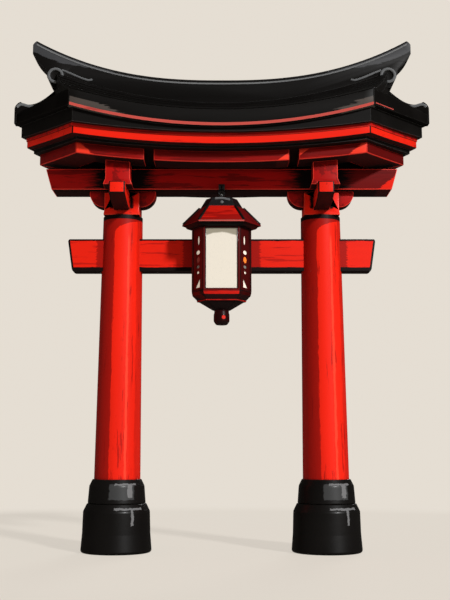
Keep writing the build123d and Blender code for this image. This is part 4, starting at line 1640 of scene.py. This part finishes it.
@dataclass(frozen=True)
class Roof:
    """Black hipped roof with its ridge, prows and trims."""

    palette: Palette
    arris: float = 0.008
    fine_arris: float = 0.004
    plan: LongHexagon = LongHexagon(1.410, 0.950, 2.094)
    eave: SagLine = EAVE
    edge_height: float = 0.028
    edge_depth: float = 0.0025
    ridge_half_depth: float = 0.110
    cap_drop: float = 0.030
    cap_height: float = 0.015
    trim_depth: float = 0.004
    gable: float = 1.720
    slope_low_z: float = 4.090
    slope_middle_z: float = 4.231
    slope_high_z: float = 4.440
    course_count: int = 7
    course_low: float = 0.940
    course_high: float = 0.125
    course_lap: float = 1.08
    course_lift: float = 0.011
    batten_low_z: float = 4.290
    batten_high_z: float = 4.540
    batten_foot: Triple = (2.070, 0.034, 4.348)
    batten_radius: float = 0.013
    boss_x: float = 1.686
    boss_z: float = 4.726
    boss_radius: float = 0.068
    boss_wire: float = 0.015
    boss_proud: float = 0.018
    bead_proud: float = 0.002
    prow_half_depth: float = 0.046

    def on_edge(self, corner: Vector) -> bool:
        """Say whether a corner lies on the lower edge of a slope."""
        low = corner.z < self.eave.height(min(abs(corner.x), self.plan.kink)) + 0.05
        return abs(abs(corner.y) - self.plan.half_depth) < 0.003 and low

    def eave_edge(self, face: Way) -> None:
        """Run the faded strip along the bottom of the roof's edge.

        Args:
            face: front or rear.
        """
        piece = trim_strip(f"{face.name}_roof_slope", f"{face.name}_eave_edge", self.on_edge,
                           self.edge_height, self.edge_depth, offset=-1.0)
        smooth(piece)
        dress(piece, "gate", "deep_red", self.palette.faded)

    def end_line(self, face: Way) -> None:
        """Run a short faded line from the right kink towards the prow.

        Args:
            face: front or rear.
        """
        low_z = self.eave.height(self.plan.kink)
        route = []
        for share in (0.03, 0.12, 0.22, 0.33):
            x = self.plan.kink + share * (self.plan.prow - self.plan.kink)
            y = face.sign * self.plan.half_depth * (1.0 - share)
            route.append((x + 0.002, y, low_z + 0.020 + share * 0.11))
        piece = moulded_line(f"{face.name}_end_line", route, 0.008)
        dress(piece, "gate", "deep_red", self.palette.faded)

    def ridge_highlight_line(self, face: Way) -> None:
        """Run a grey line just under the crest of the ridge, a painted highlight.

        Args:
            face: front or rear.
        """
        def on_crest(corner: Vector) -> bool:
            """Say whether a corner lies on this face's crest line.

            Args:
                corner: the corner.

            Returns:
                Whether it does.
            """
            near_crest = abs(corner.z - CREST.height(corner.x)) < 0.004
            on_face = abs(corner.y - face.sign * self.ridge_half_depth) < 0.002
            return on_face and near_crest and abs(corner.x) < CREST.half_span + 0.001

        piece = trim_strip("ridge_beam", f"{face.name}_ridge_cap", on_crest, -self.cap_height,
                           self.trim_depth, drop=self.cap_drop, offset=1.0)
        smooth(piece)
        dress(piece, "gate", "black_roof", self.palette.highlight_grey)

    def surface(self, x: float, y: float) -> float:
        """Height of the slopes' upper face.

        Args:
            x: distance along the gate.
            y: distance from the ridge.

        Returns:
            The height of the roof there.
        """
        low_z, high_z = self.slope_low_z, self.slope_high_z
        share = (self.plan.half_depth - y) / (self.plan.half_depth - self.ridge_half_depth)
        chord = low_z + share * (high_z - low_z)
        sag = (low_z + high_z) / 2.0 - self.slope_middle_z
        bow = chord - 4.0 * share * (1.0 - share) * sag
        axis_z = self.eave.middle_z + (
            (self.eave.half_span**2 + self.eave.rise**2) / (2.0 * self.eave.rise)
        )
        return axis_z - math.sqrt((axis_z - bow) ** 2 - x**2)

    def half_length(self, y: float) -> float:
        """Half the length of the slopes at a distance from the ridge."""
        share = 1.0 - y / self.plan.half_depth
        return self.plan.kink + (self.gable - self.plan.kink) * share

    def courses(self, face: Way) -> None:
        """Lay thin lapped boards over a slope.

        Args:
            face: front or rear.
        """
        boards = []
        step = (self.course_low - self.course_high) / self.course_count
        for course in range(self.course_count):
            low = self.course_low - course * step
            board = primitive(bpy.ops.mesh.primitive_grid_add, "course", x_subdivisions=32,
                              y_subdivisions=2, size=2.0)
            for vertex in board.data.vertices:
                across = (vertex.co.y + 1.0) / 2.0
                away = low - step * self.course_lap * across
                x = vertex.co.x * (self.half_length(away) - 0.012)
                lift = 0.003 + self.course_lift * (1.0 - across)
                vertex.co = (x, face.sign * away, self.surface(x, away) + lift)
            turn_outwards(board)
            if board.data.polygons[0].normal.z < 0.0:
                in_edit_mode(board, bpy.ops.mesh.flip_normals)
            apply_modifier(board, "SOLIDIFY", thickness=0.009, offset=-1.0)
            boards.append(board)
        piece = join(f"{face.name}_roof_courses", boards)
        smooth(piece, 25)
        dress(piece, "gate", "black_roof", self.palette.boards)

    def end_battens(self, side: Way) -> None:
        """Lay battens from the hips down to a prow.

        Args:
            side: left or right.
        """
        rods = []
        foot_x, foot_y, foot_z = self.batten_foot
        for face in FACES:
            for share in (0.0, 0.2, 0.4, 0.6, 0.8):
                hip = Vector((
                    side.sign * (self.plan.kink + share * (self.gable - self.plan.kink)),
                    face.sign * self.plan.half_depth * (1.0 - share) * 0.985,
                    self.batten_low_z + share * (self.batten_high_z - self.batten_low_z),
                ))
                foot = Vector((side.sign * foot_x, face.sign * foot_y * (1.0 - share), foot_z))
                rods.append(rod("batten", hip, hip.lerp(foot, 0.94), self.batten_radius, 0.8))
        piece = join(f"{side.name}_end_battens", rods)
        dress(piece, "gate", "black_roof", self.palette.roof_end)

    def boss(self, side: Way, face: Way) -> None:
        """Turn a ring round a boss and run its tail along the ridge, grey as a painted highlight.

        Args:
            side: left or right.
            face: front or rear.
        """
        centre = Vector((
            side.sign * self.boss_x, face.sign * (self.ridge_half_depth + self.boss_proud),
            self.boss_z,
        ))
        ring = primitive(
            bpy.ops.mesh.primitive_torus_add, "ring", major_radius=self.boss_radius,
            minor_radius=self.boss_wire, major_segments=40, minor_segments=10, location=centre,
            rotation=(QUARTER_TURN, 0.0, 0.0),
        )
        stretch(ring, (1.0, 0.6, 1.0), centre)
        smooth(ring, 60)
        tail_y = face.sign * (self.ridge_half_depth + self.bead_proud)
        tail = moulded_line("tail", [
            (side.sign * x, tail_y, z) for x, z in (
                (1.618, 4.786), (1.560, 4.764), (1.470, 4.722), (1.390, 4.690),
                (1.335, 4.676), (1.312, 4.690),
            )
        ], 0.010, 0.6)
        piece = join(f"{side.name}_{face.name}_boss_ring", [ring, tail])
        dress(piece, "gate", "black_roof", self.palette.highlight_grey)

    def prow_gleam(self, side: Way, face: Way) -> None:
        """Run a grey bead under the curl of a prow, a painted gleam.

        Args:
            side: left or right.
            face: front or rear.
        """
        bead_y = face.sign * (self.prow_half_depth + self.bead_proud)
        piece = moulded_line(f"{side.name}_{face.name}_prow_bead", [
            (side.sign * x, bead_y, z) for x, z in (
                (2.082, 4.420), (2.060, 4.446), (2.020, 4.448), (1.960, 4.426), (1.900, 4.424),
            )
        ], 0.014, 0.45)
        dress(piece, "gate", "black_roof", self.palette.highlight_grey)

    def build(self) -> None:
        """Build the roof."""
        colours = self.palette
        inset = (self.plan.half_depth - self.edge_depth) / self.plan.half_depth
        for face in FACES:
            keep_node(f"{face.name}_cornice", colours.roof)
            slope = eased(f"{face.name}_roof_slope", "gate", "black_roof", self.arris,
                          colours.roof_edge)
            stretch(slope, (1.0, inset, 1.0))
            self.eave_edge(face)
            self.end_line(face)
            self.ridge_highlight_line(face)
            self.courses(face)
        for side in SIDES:
            self.end_battens(side)
            for face in FACES:
                self.boss(side, face)
                self.prow_gleam(side, face)
            keep_node(f"{side.name}_gable_wall", colours.roof)
            for part in ("roof_end", "prow_ridge"):
                eased(f"{side.name}_{part}", "gate", "black_roof", self.fine_arris,
                      colours.roof_end, whole=True)
        eased("ridge_beam", "gate", "black_roof", self.fine_arris, colours.ridge, whole=True)


@dataclass(frozen=True)
class Lantern:
    """Hexagonal lantern with pierced sides, hung from an iron ring."""

    palette: Palette
    y: float = -0.330
    arris: float = 0.005
    body_low: float = 2.470
    body_top: float = 3.088
    half_width: float = 0.290
    front_half_width: float = 0.177
    half_depth: float = 0.165
    wall: float = 0.022
    post: float = 0.022
    rail: float = 0.012
    eave_z: float = 3.132
    eave_overhang: float = 0.072
    roof_top_z: float = 3.300
    roof_top_share: float = 0.72
    rim_height: float = 0.016
    rim_low_z: float = 2.432
    brow_z: float = 2.380
    brow_share: float = 0.8
    fret_thickness: float = 0.006
    fret_slack: float = 0.0006
    paper_slack: float = 0.004
    crown_depth: float = 0.1155
    crown_slope: float = 0.346
    rivet_radius: float = 0.016
    moulding: float = 0.007

    def window_height(self) -> float:
        """Height of the windows between the rails."""
        return self.body_top - self.body_low - 2.0 * self.rail

    def window_middle(self) -> float:
        """Height of the middle of the windows."""
        return (self.body_low + self.body_top) / 2.0

    def side_opening(self) -> float:
        """Width of an oblique side between its posts."""
        side = math.hypot(self.half_width - self.front_half_width, self.half_depth)
        return side - 2.0 * self.post

    @staticmethod
    def hole(radius: float, x: float, z: float, width: float, height: float = 1.0,
             sides: int = 24) -> Piece:
        """Make the cutter for a round or oval hole.

        Args:
            radius: its radius.
            x: its place across the board.
            z: its place up the board.
            width: scale across.
            height: scale upwards.
            sides: number of its flats.

        Returns:
            The cutter.
        """
        piece = disc("hole", sides, radius, 0.05, x, z)
        stretch(piece, (width, 1.0, height), (x, 0.0, z))
        return piece

    @staticmethod
    def wedge(x: float, z: float, width: float, height: float) -> Piece:
        """Make a cutter with a flat foot, an upright side and a slanting side.

        Args:
            x: place of its square corner across the board.
            z: height of its foot.
            width: length of the foot from the square corner, with its sign.
            height: height of the upright side.

        Returns:
            The cutter.
        """
        piece = primitive(bpy.ops.mesh.primitive_plane_add, "wedge", size=0.01)
        piece.data.clear_geometry()
        piece.data.from_pydata(
            [(x, 0.0, z), (x + width, 0.0, z), (x, 0.0, z + height)], [], [(0, 1, 2)]
        )
        apply_modifier(piece, "SOLIDIFY", thickness=0.05, offset=0.0)
        turn_outwards(piece)
        return piece

    def fret(self) -> Piece:
        """Cut one pierced side board, upright in its own frame with its face to the front.

        Returns:
            The board.
        """
        height = self.window_height() - self.fret_slack
        board = bar(
            "fret", (self.side_opening() - self.fret_slack, self.fret_thickness, height),
            ORIGIN, 0.001,
        )
        low = -height / 2.0
        for cutter in (
            self.hole(0.011, 0.010, low + 0.478, 1.4, 4.2),
            self.hole(0.021, 0.0, low + 0.362, 1.6),
            self.hole(0.021, 0.0, low + 0.290, 1.5, 1.5, sides=18),
            self.hole(0.017, 0.0, low + 0.222, 1.6),
            self.hole(0.013, 0.0, low + 0.166, 1.6),
            self.wedge(0.034, low + 0.020, -0.076, 0.088),
        ):
            apply_modifier(board, "BOOLEAN", operation="DIFFERENCE", object=cutter, solver="EXACT")
            bpy.data.objects.remove(cutter)
        smooth(board, 30)
        return board

    def on_side(self, piece: Piece, side: Way, face: Way, inward: float) -> Piece:
        """Turn a board made in its own frame onto one oblique side.

        Args:
            piece: the board.
            side: left or right.
            face: front or rear.
            inward: how far in from the outer face its middle lies.

        Returns:
            The board in its place.
        """
        normal = Vector((
            side.sign * self.half_depth,
            face.sign * (self.half_width - self.front_half_width), 0.0,
        )).normalized()
        middle = Vector((
            side.sign * (self.half_width + self.front_half_width) / 2.0,
            self.y + face.sign * self.half_depth / 2.0, self.window_middle(),
        ))
        across = normal.cross(Vector((0.0, 0.0, 1.0)))
        frame_of_side = Matrix((
            (across.x, -normal.x, 0.0), (across.y, -normal.y, 0.0), (0.0, 0.0, 1.0)
        )).to_4x4()
        mirror = Matrix.Diagonal((-float(side.sign * face.sign), 1.0, 1.0, 1.0))
        piece.matrix_world = (
            Matrix.Translation(middle - normal * inward) @ frame_of_side @ mirror
        )
        settle(piece)
        turn_outwards(piece)
        return piece

    def sides(self) -> None:
        """Fit the pierced boards, and the paper and the small panes behind them."""
        colours = self.palette
        first = self.fret()
        boards, papers, smokes = [], [], []
        tinted = {"left": [], "right": []}
        middle = self.wall / 2.0
        low = -self.window_height() / 2.0
        for side in SIDES:
            for face in FACES:
                board = link(first.copy())
                board.data = first.data.copy()
                boards.append(self.on_side(board, side, face, middle))
                paper = bar("paper", (
                    self.side_opening() - self.paper_slack, 0.002,
                    self.window_height() - self.paper_slack,
                ), ORIGIN, 0.0004)
                papers.append(self.on_side(paper, side, face, middle + 0.0055))
                for panes, height, radius in (
                    (tinted[side.name], 0.290, 0.036), (smokes, 0.222, 0.030)
                ):
                    pane = disc("pane", 24, radius, 0.0012, 0.0, low + height)
                    panes.append(self.on_side(pane, side, face, middle + 0.004))
        bpy.data.objects.remove(first)
        pierced = join("pierced_sides", boards)
        dress(pierced, "lantern", "deep_red", colours.lantern_maroon,
              colours.lantern_shade_maroon, stands_for="lantern_side_panels")
        # The right half of the pierced boards takes the darker maroon, a painted shade.
        for face in pierced.data.polygons:
            face.material_index = int(face.center.x > 0.0)
        for name, panes, finish in (
            ("side_papers", papers, colours.side_paper),
            ("rosy_panes", tinted["left"], colours.rosy),
            ("amber_panes", tinted["right"], colours.amber),
            ("smoke_panes", smokes, colours.smoke),
        ):
            dress(join(name, panes), "lantern", "paper", finish)

    def corners(self, share: float, offset: float, z: float) -> list[Vector]:
        """Corners of the plan, scaled or pushed outwards.

        Args:
            share: scale of the plan.
            offset: distance outwards.
            z: height.

        Returns:
            The six corners, round from the left.
        """
        slant = self.half_width - self.front_half_width
        side = math.hypot(slant, self.half_depth)
        point = self.half_width + offset * side / self.half_depth
        front = self.front_half_width + offset * (side - slant) / self.half_depth
        deep = self.half_depth + offset
        plan = ((-point, 0.0), (-front, -deep), (front, -deep),
                (point, 0.0), (front, deep), (-front, deep))
        return [Vector((share * x, self.y + share * y, z)) for x, y in plan]

    def ribs_and_rim(self) -> None:
        """Run ribs down the hips of the roof, a rim along its eaves and a bead below."""
        colours = self.palette
        high = self.corners(self.roof_top_share, 0.0, self.roof_top_z)
        low = self.corners(1.0, self.eave_overhang, self.eave_z)
        ribs = [
            rod("rib", top.lerp(foot, 0.02), top.lerp(foot, 0.985), 0.012)
            for top, foot in zip(high, low)
        ]
        dress(join("lantern_hip_ribs", ribs), "lantern", "deep_red", colours.lining)
        rim = trim_strip(
            "lantern_roof", "lantern_rim", lambda corner: abs(corner.z - self.eave_z) < 0.002,
            -self.rim_height, 0.004, Vector((0.0, self.y, 0.0)), offset=1.0,
            use_even_offset=True,
        )
        apply_modifier(rim, "BEVEL", width=0.0012, segments=1, limit_method="ANGLE")
        smooth(rim)
        dress(rim, "lantern", "vermilion", colours.faded, colours.lantern_maroon)
        for face in rim.data.polygons:
            face.material_index = int(abs(face.normal.x) > 0.3)
        brow = self.corners(self.brow_share, 0.0, self.brow_z)
        beads = [
            rod("bead", start, end, 0.009, 0.8) for start, end in zip(brow, brow[1:] + brow[:1])
        ]
        dress(join("lantern_base_bead", beads), "lantern", "deep_red", colours.deep_block)

    def on_crown(self, face: Way, x: float, z: float) -> Triple:
        """Place on the crown's front or rear wall, from its distance along X and its height."""
        depth = self.crown_depth - self.crown_slope * (z - self.roof_top_z)
        return (x, self.y + face.sign * depth, z)

    def crown_glints(self) -> None:
        """Fit a grey bead and a grey rivet, painted glints, to the front and the rear of the iron
        crown.
        """
        pieces = []
        for face in FACES:
            route = [
                self.on_crown(face, x, z)
                for x, z in ((-0.062, 3.374), (-0.030, 3.380), (0.030, 3.376), (0.080, 3.359))
            ]
            pieces.append(moulded_line("crown_glint_bead", route, 0.011, 0.5))
            pieces.append(primitive(
                bpy.ops.mesh.primitive_uv_sphere_add, "rivet", segments=20, ring_count=10,
                radius=self.rivet_radius, location=self.on_crown(face, 0.004, 3.336),
                scale=(1.0, 0.45, 1.0),
            ))
        crown = join("crown_glints", pieces)
        smooth(crown)
        dress(crown, "lantern", "black_iron", self.palette.highlight_grey)

    def window_frames(self) -> None:
        """Fit a thin moulding round each paper window."""
        half_width = self.front_half_width - self.post
        half_height = self.window_height() / 2.0
        middle = self.window_middle()
        inset = 0.0036
        strips = []
        for face in FACES:
            y = self.y + face.sign * (self.half_depth - self.wall / 2.0 + 0.006)
            for sign in (-1, 1):
                strips.append(bar(
                    "strip", (self.moulding, 0.006, 2.0 * half_height),
                    Vector((sign * (half_width - inset), y, middle)), 0.0015,
                ))
                strips.append(bar(
                    "strip", (2.0 * half_width, 0.006, self.moulding),
                    Vector((0.0, y, middle + sign * (half_height - inset))), 0.0015,
                ))
        dress(join("window_mouldings", strips), "lantern", "deep_red",
              self.palette.lantern_night)

    def painted_by_side(self, node: str, *finishes: Material, whole: bool,
                        choose: Callable[[Vector, Vector], int]) -> None:
        """Ease a node and give each face one of several finishes.

        Args:
            node: the frame node.
            finishes: the finishes to choose from.
            whole: whether each flat face is made one before its edges are eased.
            choose: picks a finish from a face's centre and normal.
        """
        piece = eased(node, "lantern", "vermilion", self.arris, *finishes, self.palette.lining,
                      whole=whole)
        for face in piece.data.polygons:
            if face.material_index < len(finishes):
                face.material_index = choose(face.center, face.normal)

    def build(self) -> None:
        """Build the lantern."""
        colours = self.palette
        # Faces under the roof's eaves take the black lining, a painted shade.
        self.painted_by_side(
            "lantern_roof", colours.lantern_red, colours.lantern_maroon, colours.lining,
            whole=True,
            choose=lambda centre, normal: 2 if normal.z < -0.3 else int(abs(normal.x) > 0.2),
        )
        self.painted_by_side(
            "lantern_base", colours.lantern_red, colours.lantern_night, whole=True,
            choose=lambda centre, normal: int(
                centre.z <= self.rim_low_z + 0.004 or abs(normal.x) >= 0.3
            ),
        )
        # Right-facing parts of the frame take the darker maroon, a painted shade.
        self.painted_by_side(
            "lantern_frame", colours.lantern_red, colours.lantern_maroon, colours.lantern_shade_maroon,
            whole=False,
            choose=lambda centre, normal: 0 if (
                centre.z < self.body_low + self.rail and abs(normal.y) > 0.9
            ) else 1 + int(normal.x > 0.3),
        )
        keep_node("lantern_panels", colours.paper)
        keep_node("lantern_finial", colours.finial)
        keep_node("lantern_crown", colours.iron)
        self.crown_glints()
        self.sides()
        self.ribs_and_rim()
        self.window_frames()


@dataclass(frozen=True)
class Hanger:
    """Iron bar under the head beam, its bolts, and the ring that carries the lantern."""

    palette: Palette
    low_z: float = 3.516
    bolt_radius: float = 0.011
    bolt_places: Triple = (-0.10, -0.03, 0.04)

    def build(self) -> None:
        """Dress the bar and the ring and fit the bolts, each with its washer."""
        keep_node("hanger_bar", self.palette.iron)
        keep_node("hanging_ring", self.palette.iron)
        bolts = []
        for y in self.bolt_places:
            for height, share in ((0.002, 1.5), (0.007, 1.0)):
                radius = self.bolt_radius * share
                bolts.append(turned("bolt", [
                    (0.0, -height), (radius * 0.7, -height), (radius, -height * 0.4),
                    (radius, 0.0), (0.0, 0.0),
                ], Vector((0.0, y, self.low_z)), 12))
        dress(join("hanger_bolts", bolts), "gate", "black_iron", self.palette.iron)


def main() -> None:
    """Build the stage and the gate, from the ground up."""
    logging.basicConfig(level=logging.INFO, format="%(name)s %(message)s")
    Viewpoint().place()
    Studio().set_up()
    palette = Palette()
    for assembly in (Feet, Posts, HeadWork, Eaves, Roof, Hanger, Lantern):
        assembly(palette).build()


if __name__ == "__main__":
    main()
